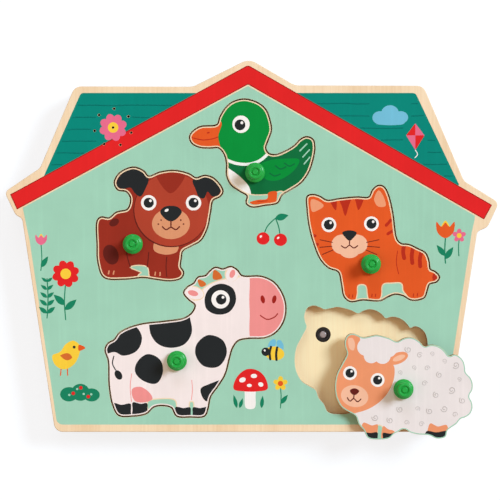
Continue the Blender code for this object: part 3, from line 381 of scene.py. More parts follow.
# %% A group for handled surfaces
handled, given, result = new_tree(
    "handled_surface", "ShaderNodeTree",
    [("Place", VECTOR, None), ("Color", COLOUR, (0.5, 0.5, 0.5, 1.0)), ("Fineness", FLOAT, 400.0),
     ("Smooth", FLOAT, 0.25), ("Rough", FLOAT, 0.4), ("Drift", FLOAT, 0.06)], SURFACE)
cloud = noise(handled, given["Place"], 60.0, 3.0)
level = spread(handled, cloud, 0.3, 0.7, maths(handled, "SUBTRACT", 1.0, given["Drift"]),
               maths(handled, "ADD", 1.0, given["Drift"]))
hand_out(handled, result, Color=brightened(handled, given["Color"], level),
         Height=noise(handled, given["Place"], given["Fineness"], 4.0),
         Roughness=spread(handled, cloud, 0.35, 0.65, given["Smooth"], given["Rough"]))

# %% [markdown]
# ## From a group to a material
# A material places a group, tells it where on the piece each point is, and feeds the shader's colour,
# roughness and bump. What is the same all over a surface, such as its metal or its clear coat, is set on
# the shader.

# %% Materials
def finish(name, group, bump, shader=(), place_turn=0.0, ink_layer=None, **values):
    """A material that wears a group. Bump is the height of its finest relief in metres."""
    material = bpy.data.materials.new(name)
    material.use_nodes = True
    tree = material.node_tree
    principled = tree.nodes["Principled BSDF"]
    for socket, value in dict(shader).items():
        principled.inputs[socket].default_value = value
    where = node(tree, "ShaderNodeTexCoord").outputs["Object"]
    turned_place = node(tree, "ShaderNodeMapping", {"Vector": where, "Rotation": (0.0, 0.0, place_turn)})
    if ink_layer:
        values["Ink"] = node(tree, "ShaderNodeVertexColor", layer_name=ink_layer).outputs["Color"]
    worn = node(tree, "ShaderNodeGroup", {}, node_tree=group)
    for socket, value in {"Place": turned_place.outputs[0], **values}.items():
        if isinstance(value, bpy.types.NodeSocket):
            tree.links.new(value, worn.inputs[socket])
        else:
            worn.inputs[socket].default_value = value
    relief = node(tree, "ShaderNodeBump",
                  {"Strength": 1.0, "Distance": bump, "Height": worn.outputs["Height"]})
    tree.links.new(worn.outputs["Color"], principled.inputs["Base Color"])
    tree.links.new(worn.outputs["Roughness"], principled.inputs["Roughness"])
    tree.links.new(relief.outputs["Normal"], principled.inputs["Normal"])
    return material


face_wood = finish("birch_face", grain, 0.00002)
floor_wood = finish("birch_floor", grain, 0.00003, Pale=paint(255, 238, 192), Dark=paint(246, 210, 154),
                    Strength=0.4)
back_wood = finish("birch_back", grain, 0.00004, Pale=paint(240, 214, 170), Dark=paint(196, 154, 104),
                   place_turn=math.pi / 2, Strength=0.7)
sanded_edge = finish("sawn_edge", layers, 0.00004)
scorched_edge = finish("laser_cut_edge", layers, 0.00004, Pale=paint(176, 112, 48), Dark=paint(120, 74, 30),
                       Burn=0.5)
VARNISH = {"Specular IOR Level": 0.08}
printed = finish("printed_face", ink, 0.00001, VARNISH, ink_layer="ink")
knob_paint = finish("green_lacquer", handled, 0.000004,
                    {"Specular IOR Level": 0.1, "Coat Weight": 0.25, "Coat Roughness": 0.18},
                    Color=paint(32, 164, 64), Smooth=0.3, Rough=0.42, Fineness=700.0, Drift=0.04)
steel = finish("zinc_plated_steel", handled, 0.000006, {"Metallic": 1.0}, Color=paint(196, 195, 190),
               Smooth=0.24, Rough=0.42, Fineness=1500.0, Drift=0.08)
nickel = finish("nickel_contact", handled, 0.000004, {"Metallic": 1.0}, Color=paint(206, 200, 182),
                Smooth=0.18, Rough=0.34, Fineness=1200.0)
black_plastic = finish("moulded_black", handled, 0.00001, {"Specular IOR Level": 0.2},
                       Color=paint(28, 21, 17), Smooth=0.38, Rough=0.55, Fineness=1800.0, Drift=0.12)
lens = finish("sensor_window", handled, 0.000002, {"Coat Weight": 0.6, "Coat Roughness": 0.06},
              Color=paint(150, 132, 128), Smooth=0.12, Rough=0.22, Fineness=900.0, Drift=0.15)
lead_cover = finish("lead_cover", handled, 0.000004, Color=paint(196, 52, 40), Smooth=0.36, Rough=0.5)
board_green = finish("solder_mask", handled, 0.000006, {"Coat Weight": 0.4, "Coat Roughness": 0.2},
                     Color=paint(24, 110, 66), Smooth=0.25, Rough=0.4, Fineness=1200.0, Drift=0.2)
cone_paper = finish("cone_paper", handled, 0.00003, Color=paint(46, 44, 44), Smooth=0.7, Rough=0.9,
                    Fineness=2200.0, Drift=0.15)
cell_wrap = finish("cell_wrap", handled, 0.000003, {"Coat Weight": 0.5, "Coat Roughness": 0.15},
                   Color=paint(44, 78, 138), Smooth=0.2, Rough=0.3, Fineness=500.0, Drift=0.05)
print(len(bpy.data.materials), "materials")

# %% [markdown]
# ## Boards
# A board is a flat outline given a thickness, with holes sawn through it and every edge sanded to a small
# radius. A bevel modifier struggles with outlines of several hundred points, so the rounding is made
# directly: the outline is drawn in by a little more on each row until the row lies in the face. Both faces
# are then filled by a triangulation that leaves the holes open. The normals are known exactly and are
# stored with the mesh, so the flat faces stay flat and the edge looks round.

# %% A helper for sanded boards
SAND_STEPS = 4


def new_piece(name, places, faces, slots):
    """A mesh object at the origin, from points in millimetres."""
    mesh = bpy.data.meshes.new(name)
    mesh.from_pydata([(x * MM, y * MM, z * MM) for x, y, z in places], [], faces)
    for material in slots:
        mesh.materials.append(material)
    piece = bpy.data.objects.new(name, mesh)
    bpy.context.scene.collection.objects.link(piece)
    return piece


def sand_rows(bottom, top, rounding):
    """The rows up a board's edge: how far each lies inside the outline, its height and its tilt."""
    rows = []
    for first, level in ((-math.pi / 2, bottom + rounding), (0.0, top - rounding)):
        for step in range(SAND_STEPS + 1):
            tilt = first + math.pi / 2 * step / SAND_STEPS
            rows.append((rounding * (1 - math.cos(tilt)), level + rounding * math.sin(tilt), tilt))
    return rows


def board(name, outline, holes, bottom, top, rounding, face, edge, hole_rounding=None, hole_edge=None):
    """A closed board with sanded edges, its holes left open.

    Its holes can have a rounding and an edge of their own.
    """
    loops = [(anticlockwise(outline), 1, rounding)]
    loops += [(anticlockwise(hole), -1, hole_rounding or rounding) for hole in holes]
    places, normals, faces, slots = [], [], [], []
    last_row = 2 * SAND_STEPS + 1
    face_rows = {0: [], last_row: []}
    for loop, side, radius in loops:
        size = len(loop)
        mitres = outward(loop)
        start = len(places)
        for row, (inset, height, tilt) in enumerate(sand_rows(bottom, top, radius)):
            if row in face_rows:
                face_rows[row].append(list(range(len(places), len(places) + size)))
            for point, mitre in zip(loop, mitres):
                here = point - mitre * inset * side
                out = mitre.normalized() * side * math.cos(tilt)
                places.append((here.x, here.y, height))
                normals.append((out.x, out.y, math.sin(tilt)))
        for row in range(last_row):
            for i in range(size):
                a = start + row * size + i
                b = start + row * size + (i + 1) % size
                quad = (a, b, b + size, a + size)
                faces.append(quad if side > 0 else quad[::-1])
                slots.append(0 if row != SAND_STEPS else 1 if side > 0 else 2)
    for row, groups in face_rows.items():
        flat = [index for group in groups for index in group]
        numbers = {index: i for i, index in enumerate(flat)}
        flat_points = [Vector(places[index][:2]) for index in flat]
        rings = [[numbers[index] for index in group] for group in groups]
        points, _, triangles, sources, _, owners = delaunay_2d_cdt(flat_points, [], rings, 1, 1e-6, True)
        for triangle, owner in zip(triangles, owners):
            if set(owner) == {0}:
                corners = [flat[sources[i][0]] for i in triangle]
                faces.append(corners if row else corners[::-1])
                slots.append(0)
    piece = new_piece(name, places, faces, (face, edge, hole_edge or edge))
    piece.data.polygons.foreach_set("material_index", slots)
    piece.data.polygons.foreach_set("use_smooth", [True] * len(faces))
    piece.data.normals_split_custom_set_from_vertices(normals)
    return piece


def settle(piece, body, slot, *nodes):
    """Hands a piece over: what it moves with, and the model's parts that it stands for. The slot, its finish,
    is not used.
    """
    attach(piece, body)
    if nodes:
        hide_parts(*nodes)
    print(f"{piece.name}: {len(piece.data.polygons)} faces, on {body}")

# %% [markdown]
# ## The four boards
# The face board is 6 mm plywood with the five recesses cut through it. The floor board closes the recesses
# from below and holds the sensors. Eight small holes through both let the speaker sound out. The side frame
# makes the hollow for the circuit, and the back board closes it, with an opening for the battery door.

# %% Face board and floor board
CLEARANCE = 0.9       # between an animal and its recess
CUT_ROUNDING = 0.1    # of an edge as the laser leaves it
SLEEVE_RADIUS = 4.35
SOUND_RADIUS = 0.75
SOUND_RING = 11.5     # radius of the ring of sound holes round the middle one
SOUND_COUNT = 7       # holes in that ring
SOUND_TURN = 35.6     # degrees from +X to the ring's first hole
recesses = {name: moved(grown(ANIMALS[name], CLEARANCE), RECESSES[name]) for name in ANIMALS}
sensors = [middle(f"{name}_light_sensor") for name in ANIMALS]
speaker = Vector(middle("speaker_frame"))
sound_places = [speaker]
for number in range(SOUND_COUNT):
    angle = math.radians(SOUND_TURN + 360 * number / SOUND_COUNT)
    sound_places.append(speaker + SOUND_RING * Vector((math.cos(angle), math.sin(angle))))
sound_holes = [ring(place, SOUND_RADIUS, 32) for place in sound_places]
face_board = board("sawn_face_board", house, [*recesses.values(), *sound_holes], *LAYERS["face_board"], 0.5,
                   face_wood, sanded_edge, CUT_ROUNDING, scorched_edge)
settle(face_board, "board", "printed_wood", "face_board")
sensor_holes = [ring(place, SLEEVE_RADIUS + 0.3) for place in sensors]
floor_board = board("recess_floor", house, sensor_holes + sound_holes, *LAYERS["floor_board"], 0.25,
                    floor_wood, sanded_edge, CUT_ROUNDING)
settle(floor_board, "board", "bare_wood", "floor_board")
print("sound holes at", [[round(v, 1) for v in place] for place in sound_places])

# %% Side frame
FRAME_WALL = 11.0
FRAME_CORNER = 5.0
PLAIN_BODY = (0, 1, 2, 5, 6, 10, 11, 14)     # the house's corners without its eaves and gable
SCREW_CORNERS = (0, 1, 2, 4, 5, 7)           # those of the plain body's corners that hold a screw
SHANK_HOLE = 1.8                             # radius of the holes for the back board's screws
body_line = anticlockwise([HOUSE[i] for i in PLAIN_BODY])
inner = cornered([(point.x, point.y, FRAME_CORNER) for point in grown(body_line, -FRAME_WALL)])
wall_middle = grown(body_line, -FRAME_WALL / 2)
screw_places = [tuple(wall_middle[i]) for i in SCREW_CORNERS]
side_frame = board("glued_side_frame", house, [inner] + [ring(p, SHANK_HOLE, 24) for p in screw_places],
                   *LAYERS["side_frame"], 0.3, back_wood, sanded_edge)
settle(side_frame, "board", "bare_wood", "side_frame")
print("screws at", [[round(v, 1) for v in place] for place in screw_places])

# %% Back board
DOOR_CORNER = 2.0
DOOR_SPARE = 0.35      # round the door in its opening
HEAD_HOLE = 3.25       # radius of the hole for a screw's head
door_low, door_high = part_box("battery_door")
door_box = [(door_low.x / MM, door_low.y / MM), (door_high.x / MM, door_high.y / MM)]


def box_outline(low, high, spare, corner, steps=6):
    x0, y0, x1, y1 = low[0] - spare, low[1] - spare, high[0] + spare, high[1] + spare
    return cornered([(x0, y0, corner), (x1, y0, corner), (x1, y1, corner), (x0, y1, corner)], steps)


back_holes = [box_outline(*door_box, DOOR_SPARE, DOOR_CORNER)]
back_holes += [ring(place, HEAD_HOLE, 32) for place in screw_places]
back_board = board("drilled_back_board", house, back_holes, *LAYERS["back_board"], 0.25, back_wood,
                   sanded_edge)
settle(back_board, "board", "bare_wood", "back_board")

# %% [markdown]
# ## Turned parts
# Knobs, sleeves and screw shanks come off a lathe, or out of a mould that was turned on one. A half section
# is swung round the axis, here with 96 facets so that no facet shows in a close view. The section runs from
# the middle of the top, down the outside, to the middle of the bottom, so the shape is closed at both
# poles.

# %% A helper for turned parts
FACETS = 96


def turned(name, section, place, base, material, facets=FACETS):
    """A closed turned part from (radius, height) points in millimetres, top to bottom."""
    places, faces = [], []
    rows = []
    for radius, height in section:
        if rows and (radius, height) == section[0]:
            rows.append(rows[0])
        elif radius < 1e-6:
            rows.append([len(places)])
            places.append((place[0], place[1], base + height))
        else:
            rows.append(list(range(len(places), len(places) + facets)))
            places += [(point.x, point.y, base + height) for point in ring(place, radius, facets)]
    for upper, lower in zip(rows, rows[1:]):
        for i in range(facets):
            j = (i + 1) % facets
            if len(upper) == 1:
                faces.append((upper[0], lower[i], lower[j]))
            elif len(lower) == 1:
                faces.append((upper[i], lower[0], upper[j]))
            else:
                faces.append((upper[i], lower[i], lower[j], upper[j]))
    part = new_piece(name, places, faces, (material,))
    part.data.polygons.foreach_set("use_smooth", [True] * len(faces))
    part.data.set_sharp_from_angle(angle=math.radians(38))
    return part


def arc(centre, radius, first, last, steps=6):
    """Points of an arc in a half section, its angles in degrees from straight out."""
    turns = [math.radians(first + (last - first) * step / steps) for step in range(steps + 1)]
    return [(centre[0] + radius * math.cos(a), centre[1] + radius * math.sin(a)) for a in turns]

# %% [markdown]
# ## Knobs
# The knobs are small wooden turnings in a green lacquer. From above they show a head with a ring groove
# round a small button, and a wider foot round the head. The neck between them is a little narrower than the
# head, which small fingers need to hold on. Each one moves with its animal, so each is its own piece.

# %% The five knobs
KNOB_TOP = 12.0
knob_section = (
    [(0.0, KNOB_TOP - 0.12), (0.7, KNOB_TOP - 0.08)]
    + arc((1.2, KNOB_TOP - 0.4), 0.4, 80, 10)
    + arc((2.1, KNOB_TOP - 0.42), 0.42, 200, 340)
    + arc((3.0, KNOB_TOP - 0.5), 0.5, 170, 90)
    + arc((3.3, KNOB_TOP - 1.2), 1.2, 88, -40, 14)
    + [(3.98, 8.8), (3.9, 6.6)]
    + arc((5.4, 5.1), 1.5, 180, 258, 8)
    + arc((4.75, 1.95), 1.35, 70, -25, 10)
    + arc((5.3, 0.6), 0.6, -30, -90, 4)
    + [(0.0, 0.0)]
)
for name in ANIMALS:
    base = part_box(f"{name}_knob")[0].z / MM
    knob = turned(f"{name}_turned_knob", knob_section, KNOBS[name], base, knob_paint)
    settle(knob, name, "knob_green", f"{name}_knob")

# %% [markdown]
# ## Copies on points
# Screws and sensors repeat: one shape at many places. Copying by hand would make the places hard to change,
# so a small Geometry Nodes tree puts a shape on every point it is given. Its inputs are the shape, its
# size, how far each copy may be turned, the seed of those turns and the material. Screws are never all
# driven to the same angle, which the random turn shows.

# %% A tree for copies on points
GEOMETRY, OBJECT, MATERIAL, WHOLE = ("NodeSocketGeometry", "NodeSocketObject", "NodeSocketMaterial",
                                     "NodeSocketInt")


def random_value(tree, least, most, seed):
    """A random number for each point, always the same for one seed."""
    inputs = {2: least, 3: most, "Seed": seed}
    return node(tree, "FunctionNodeRandomValue", inputs, data_type="FLOAT").outputs[1]


def on_points(tree, points, shape, turn, size):
    """A copy of the shape on every point, turned about its upright axis."""
    upright = node(tree, "ShaderNodeCombineXYZ", {"Z": turn})
    return node(tree, "GeometryNodeInstanceOnPoints", {"Points": points, "Instance": shape, "Scale": size,
                                                       "Rotation": upright.outputs[0]}).outputs[0]


def make_real(tree, geometry, material, result):
    """Turns copies into one mesh in its material and hands it out."""
    real = node(tree, "GeometryNodeRealizeInstances", {"Geometry": geometry})
    dressed = node(tree, "GeometryNodeSetMaterial", {"Geometry": real.outputs[0], "Material": material})
    hand_out(tree, result, Result=dressed.outputs[0])


copies, given, result = new_tree(
    "copies_on_points", "GeometryNodeTree",
    [("Points", GEOMETRY, None), ("Shape", OBJECT, None), ("Size", FLOAT, 1.0), ("Turn", FLOAT, 0.0),
     ("Seed", WHOLE, 0), ("Material", MATERIAL, None)], [("Result", GEOMETRY)])
shape = node(copies, "GeometryNodeObjectInfo", {"Object": given["Shape"]}).outputs["Geometry"]
turn = random_value(copies, 0.0, given["Turn"], given["Seed"])
make_real(copies, on_points(copies, given["Points"], shape, turn, given["Size"]), given["Material"], result)


def grow(name, places, edges, tree, **values):
    """Runs a tree on points, or on edges between them, and keeps the result as a plain mesh."""
    seedling = bpy.data.meshes.new("seedling")
    seedling.from_pydata([(x * MM, y * MM, z * MM) for x, y, z in places], edges, [])
    carrier = bpy.data.objects.new("carrier", seedling)
    bpy.context.scene.collection.objects.link(carrier)
    modifier = carrier.modifiers.new("tree", "NODES")
    modifier.node_group = tree
    for item in tree.interface.items_tree:
        if item.item_type == "SOCKET" and item.in_out == "INPUT" and item.name in values:
            modifier[item.identifier] = values[item.name]
    bpy.context.view_layer.update()
    evaluated = carrier.evaluated_get(bpy.context.evaluated_depsgraph_get())
    mesh = bpy.data.meshes.new_from_object(evaluated)
    bpy.data.objects.remove(carrier)
    piece = bpy.data.objects.new(name, mesh)
    bpy.context.scene.collection.objects.link(piece)
    return piece


def copied(name, shape, places, material, turn=0.0, seed=0):
    """The shape on every place, as one piece."""
    return grow(name, places, [], copies, Shape=shape, Size=1.0, Turn=turn, Seed=seed, Material=material)


def joined(name, *parts):
    """Several closed shapes as one object."""
    places, faces = [], []
    for part in parts:
        start = len(places)
        places += [tuple(vertex.co / MM) for vertex in part.data.vertices]
        faces += [[start + i for i in face.vertices] for face in part.data.polygons]
        bpy.data.objects.remove(part)
    whole = new_piece(name, places, faces, ())
    whole.data.polygons.foreach_set("use_smooth", [True] * len(faces))
    whole.data.set_sharp_from_angle(angle=math.radians(38))
    return whole

# %% [markdown]
# ## Screws
# Three kinds of countersunk cross-head screw hold the toy together: six in the back board, one up into each
# knob, and one in the battery door. A head is a small sanded board with a cross-shaped hole, and the cone
# and shank under it are turned. The cone closes the cross at its bottom, so the driver's recess is real.

# %% A countersunk screw and its places
def screw_shape(length, shank, head):
    """A screw standing on its head at the origin, its point up."""
    arm, half = head * 0.62, head * 0.14
    cross = [(arm, -half), (arm, half), (half, half), (half, arm), (-half, arm), (-half, half), (-arm, half),
             (-arm, -half), (-half, -half), (-half, -arm), (half, -arm), (half, -half)]
    disc = board("head", ring((0, 0), head * 0.97, 48), [cross], 0.0, 0.75, 0.1, None, None)
    rest = [(0.0, length), (shank * 0.3, length), (shank, length - 1.6), (shank, 1.75), (head * 0.8, 0.9),
            (head * 0.86, 0.7), (0.0, 0.7)]
    return joined("screw_shape", disc, turned("shank", rest, (0, 0), 0.0, None, 32))


LOOSE_TURN = 1.5     # the most that a driven screw is turned, in radians
long_screw = screw_shape(13.0, 1.5, 3.0)
back_screws = copied("back_board_screws", long_screw, [(*place, 0.2) for place in screw_places], steel,
                     LOOSE_TURN, 4)
settle(back_screws, "board", "steel", *[f"back_screw_{number}" for number in range(1, 7)])
knob_screw = screw_shape(13.0, 1.3, 2.75)
for number, name in enumerate(ANIMALS):
    screw_low = height_range(f"{name}_knob_screw")[0]
    driven = copied(f"{name}_driven_screw", knob_screw, [(*KNOBS[name], screw_low)], steel, LOOSE_TURN,
                    10 + number)
    settle(driven, name, "steel", f"{name}_knob_screw")
short_screw = screw_shape(8.0, 1.1, 2.2)
door_screw_at = middle("battery_door_screw")
screw_low = height_range("battery_door_screw")[0]
door_screw = copied("door_screw", short_screw, [(*door_screw_at, screw_low)], steel)
settle(door_screw, "battery_door_screw", "steel", "battery_door_screw")
for shape in (long_screw, knob_screw, short_screw):
    bpy.data.objects.remove(shape)

# %% [markdown]
# ## Light sensors
# In the open recess a small window looks up out of a black sleeve. It is the light sensor that starts the
# sound. The other four lie under their animals. Sleeve and sensor are moulded parts, so each is one turned
# shape, copied to the five places. The sleeve's rim is rounded and its bore is real, so the window lies in
# shadow a little below the rim.

# %% Five sleeves and five sensors
SLEEVE_BORE = 2.65
SLEEVE_FLANGE = 6.0       # radius of the flange at the sleeve's foot
FLANGE_HEIGHT = 1.0
RIM_DROP = 0.5            # from the sleeve's top to where its rounding starts
WINDOW_RADIUS = 2.35
WINDOW_FOOT = 3.4         # radius of the sensor's foot
sleeve_low, sleeve_high = height_range("dog_sensor_sleeve")
sensor_low, sensor_high = height_range("dog_light_sensor")
rim = sleeve_high - RIM_DROP
collar = sleeve_low + FLANGE_HEIGHT
rounded = arc((SLEEVE_BORE + 0.3, 0.2), 0.3, 180, 90, 4) + arc((SLEEVE_RADIUS - 0.4, 0.1), 0.4, 90, 0, 4)
sleeve_section = [(SLEEVE_BORE, rim), *[(r, h + sleeve_high - RIM_DROP) for r, h in rounded],
                  (SLEEVE_RADIUS, collar), (SLEEVE_FLANGE, collar), (SLEEVE_FLANGE, sleeve_low),
                  (SLEEVE_BORE, sleeve_low), (SLEEVE_BORE, rim)]
sleeve = turned("sleeve_shape", sleeve_section, (0, 0), 0.0, None, 64)
window_collar = sensor_low + FLANGE_HEIGHT
dome = [(0.0, sensor_high), (0.8, sensor_high - 0.04), (1.6, sensor_high - 0.2), (2.1, sensor_high - 0.45),
        (WINDOW_RADIUS, sensor_high - 0.85), (WINDOW_RADIUS, window_collar), (WINDOW_FOOT, window_collar),
        (WINDOW_FOOT, sensor_low), (0.0, sensor_low)]
window = turned("window_shape", dome, (0, 0), 0.0, None, 64)
for name, shape, material, slot, part in (
        ("sensor_sleeves", sleeve, black_plastic, "black_plastic", "sensor_sleeve"),
        ("sensor_windows", window, lens, "sensor_lens", "light_sensor")):
    five = copied(name, shape, [(*place, 0.0) for place in sensors], material)
    settle(five, "board", slot, *[f"{animal}_{part}" for animal in ANIMALS])
    bpy.data.objects.remove(shape)

# %% [markdown]
# ## Animal pieces
# Each animal is cut from 6 mm plywood by laser, which browns its sides, with the knob's screw through its
# middle. Its edges are only lightly broken, as on the recess.

# %% The five cut animals
PIECE_HOLE = 3.05      # radius of the hole for the knob's screw
for name, outline in ANIMALS.items():
    low, high = height_range(f"{name}_piece")
    at = KNOBS[name]
    piece = board(f"{name}_sawn_piece", moved(outline, at), [ring(at, PIECE_HOLE, 32)], low, high,
                  CUT_ROUNDING, face_wood, scorched_edge)
    settle(piece, name, f"{name}_paint", f"{name}_piece")

# %% [markdown]
# ## Drawing with shapes
# A screen print lays flat colours over each other, one shape at a time. The same works here: every picture
# is a list of inked shapes in the order of printing, and a later shape covers an earlier one.

INKS = {
    "mint": paint(161, 209, 184), "red": paint(227, 36, 37), "dark_red": paint(160, 34, 26),
    "teal": paint(0, 134, 119), "black": paint(34, 36, 37),
    "white": paint(250, 244, 240), "brown": paint(152, 46, 31), "light_brown": paint(178, 66, 45),
    "dark_brown": paint(98, 30, 24), "tan": paint(222, 150, 110), "grass": paint(2, 141, 56),
    "forest": paint(10, 108, 58), "orange": paint(229, 90, 36), "stripe": paint(186, 46, 26),
    "peach": paint(241, 158, 117), "pale_peach": paint(247, 190, 158), "cow": paint(247, 232, 229),
    "pink": paint(240, 146, 143), "horn": paint(214, 108, 48), "wool": paint(238, 228, 226),
    "grey": paint(208, 199, 196), "face": paint(240, 152, 108), "yellow": paint(250, 206, 62),
    "leaf": paint(22, 128, 92), "sky": paint(116, 190, 216), "rose": paint(232, 108, 140),
}


def set_down(x, y, turn, points):
    """Points turned about the origin by degrees, then moved to (x, y)."""
    tilt = math.radians(turn)
    return [Vector((x + u * math.cos(tilt) - v * math.sin(tilt), y + u * math.sin(tilt) + v * math.cos(tilt)))
            for u, v in points]


def oval(x, y, across, up, turn=0.0, count=40):
    turns = [2 * math.pi * i / count for i in range(count)]
    return set_down(x, y, turn, [(across * math.cos(a), up * math.sin(a)) for a in turns])


def blob(*points):
    return curved(points, 6)


def stroke(width, *points):
    """A brush stroke of one width through the points, with round ends."""
    marks = [Vector(point) for point in points]
    path = []
    for i in range(len(marks) - 1):
        path += between(marks[max(i - 1, 0)], marks[i], marks[i + 1], marks[min(i + 2, len(marks) - 1)], 6)
    path.append(marks[-1])
    sides = []
    for i, here in enumerate(path):
        way = (path[min(i + 1, len(path) - 1)] - path[max(i - 1, 0)]).normalized()
        sides.append(Vector((way.y, -way.x)) * width / 2)
    right = [here + side for here, side in zip(path, sides)]
    left = [here - side for here, side in zip(path, sides)]
    end, start = sides[-1], sides[0]
    turns = [math.pi * i / 6 for i in range(1, 6)]
    cap_end = [path[-1] + end * math.cos(a) + Vector((-end.y, end.x)) * math.sin(a) for a in turns]
    cap_start = [path[0] - start * math.cos(a) - Vector((-start.y, start.x)) * math.sin(a) for a in turns]
    return anticlockwise(right + cap_end + left[::-1] + cap_start)


def leaf(x, y, length, width, turn):
    """A pointed leaf that starts at (x, y)."""
    shares = [(i / 10, 1) for i in range(11)] + [(i / 10, -1) for i in range(9, 0, -1)]
    edge = [(share * length, side * width / 2 * math.sin(math.pi * share**0.8)) for share, side in shares]
    return anticlockwise(set_down(x, y, turn, edge))


def inked(colour, *outlines):
    """Several shapes in one colour."""
    return [(colour, outline) for outline in outlines]


def shifted(shapes, place):
    return [(colour, moved(outline, place)) for colour, outline in shapes]


def eye(x, y, white, pupil, look=(0.0, 0.0)):
    """A round eye with a pupil and a glint."""
    px, py = x + look[0], y + look[1]
    return [("white", oval(x, y, white, white)), ("black", oval(px, py, pupil, pupil)),
            ("white", oval(px + pupil * 0.35, py + pupil * 0.4, pupil * 0.26, pupil * 0.26))]

# %% [markdown]
# ## From shapes to a film of ink
# The shapes overlap, but a film of ink can't. A triangulation that keeps every outline as an edge cuts the
# plane into the smallest common areas and says which shapes cover each, so each triangle simply takes the
# colour of the last shape on top. The result is one thin closed film per picture, its colours stored on its
# corners. Edges stay sharp at any distance, which a picture of limited size would not manage.

# %% A helper for printed films
FILM_SINK, FILM_RISE = 0.02, 0.03     # how far the film reaches into and out of the wood


def print_film(name, area, holes, shapes, top, rim=None):
    """A film over the area, without its holes, coloured by the shapes in their order of printing.
    A rim is an outline and a colour. Outside that outline the film takes the rim's colour, or stays bare
    where that colour is None.
    """
    outlines = [area, *holes, *[outline for _, outline in shapes]]
    if rim:
        outlines.append(rim[0])
    flat, rings = [], []
    for loop in outlines:
        rings.append(list(range(len(flat), len(flat) + len(loop))))
        flat += anticlockwise(loop)
    points, _, triangles, _, _, owners = delaunay_2d_cdt(flat, [], rings, 1, 1e-5, True)
    first_shape, last_shape = 1 + len(holes), len(holes) + len(shapes)
    kept, colours = [], []
    for triangle, owner in zip(triangles, owners):
        if 0 not in owner or any(0 < i < first_shape for i in owner):
            continue
        covers = [i for i in owner if first_shape <= i <= last_shape]
        colour = shapes[max(covers) - first_shape][0] if covers else None
        if rim and last_shape + 1 not in owner:
            colour = rim[1]
        if colour:
            kept.append(triangle)
            colours.append(INKS[colour])
    used = sorted({i for triangle in kept for i in triangle})
    count = len(used)
    numbers = {i: number for number, i in enumerate(used)}
    kept = [tuple(numbers[i] for i in triangle) for triangle in kept]
    places = [(points[i].x, points[i].y, top + level) for level in (FILM_RISE, -FILM_SINK) for i in used]
    faces = kept + [tuple(i + count for i in triangle[::-1]) for triangle in kept]
    inks = colours * 2
    sides = {}
    for triangle, colour in zip(kept, colours):
        for a, b in zip(triangle, triangle[1:] + triangle[:1]):
            sides[(a, b)] = colour
    for (a, b), colour in sides.items():
        if (b, a) not in sides:
            faces.append((b, a, a + count, b + count))
            inks.append(colour)
    film = new_piece(name, places, faces, (printed,))
    layer = film.data.color_attributes.new("ink", "FLOAT_COLOR", "CORNER")
    corner_colours = []
    for face, colour in zip(film.data.polygons, inks):
        corner_colours += list(colour) * len(face.vertices)
    layer.data.foreach_set("color", corner_colours)
    return film

# %% [markdown]
# ## The animals' pictures
# Each picture fills its animal up to a narrow bare rim. The drawings here are plain farm animals of this
# file's own, in the colours of the toy. Between the legs the wall's mint shows, with a pale edge round it.

# %% Dog
def gap_in(outline):
    """A patch of the wall's colour between the legs, with its bare edge."""
    return [(None, grown(outline, 0.7)), ("mint", outline)]


dog_picture = [
    ("brown", oval(16, 12, 60, 60)),
    *gap_in(blob((-1, -14.2), (4, -13.4), (8.4, -14.4), (9.4, -19), (9.6, -24), (2, -24), (3.6, -19.2),
                 (5.4, -17.4))),
    *inked("dark_brown", oval(-13.5, -6.5, 4.6, 6.2, 20), oval(-11.5, 13.2, 3.2, 2.2, 30)),
    ("tan", blob((13, -4), (20, -6.5), (27, -4.5), (27.5, 0), (20, 1.5), (13, 0.5))),
    *inked("dark_brown", stroke(0.6, (-3.2, 3.5), (-3.8, -6), (-1.6, -14)),
           stroke(0.6, (9.6, -5), (9.2, -10), (8.6, -14)),
           stroke(0.6, (20.6, -8), (20.2, -14), (20.6, -19.8))),
    *inked("tan", stroke(0.8, (-15, -18.2), (-14.6, -16.4)), stroke(0.8, (-12, -18.4), (-11.6, -16.6)),
           stroke(0.8, (13.5, -19), (13.7, -17.2)), stroke(0.8, (16.5, -19.2), (16.6, -17.4))),
    ("dark_brown", oval(23.3, 20.4, 23.1, 22.4)), ("light_brown", oval(23.6, 20.9, 22.8, 22.2)),
    ("brown", blob((14, 44), (18, 35), (23, 31), (28, 35), (32, 44))),
    *inked("black",
           blob((9.5, 40.5), (3, 46), (-4, 45), (-9.5, 39.5), (-9.8, 35.5), (-6, 33.6), (-1.5, 34.4),
                (1.2, 31), (4.5, 29), (7.5, 33.5)),
           blob((36.5, 39), (43, 41.5), (49, 39.6), (53.6, 33.5), (52, 29.8), (48.3, 29.2), (45.6, 32),
                (43.4, 28), (40.5, 28.5), (38.2, 33.5))),
    ("tan", oval(23.2, 12.4, 11.6, 9.4)),
    ("black", blob((16.6, 19.8), (19, 22.6), (23.2, 23.4), (27.4, 22.6), (29.8, 19.8), (27, 15.6),
                   (23.2, 13.8), (19.4, 15.6))),
    ("white", oval(20.6, 20.6, 1.3, 0.8, 25)),
    *inked("dark_brown", stroke(0.8, (23.2, 14), (23.2, 10.4)),
           stroke(0.8, (18, 10.6), (20.2, 8.8), (23.2, 10.2), (26.2, 8.8), (28.4, 10.6))),
    *eye(9.6, 25.2, 4.7, 3.1), *eye(37, 25.2, 4.7, 3.1),
    *inked("dark_brown", oval(15.5, 12.2, 0.5, 0.5), oval(17.2, 14.6, 0.5, 0.5), oval(30.9, 12.2, 0.5, 0.5),
           oval(29.2, 14.6, 0.5, 0.5)),
]

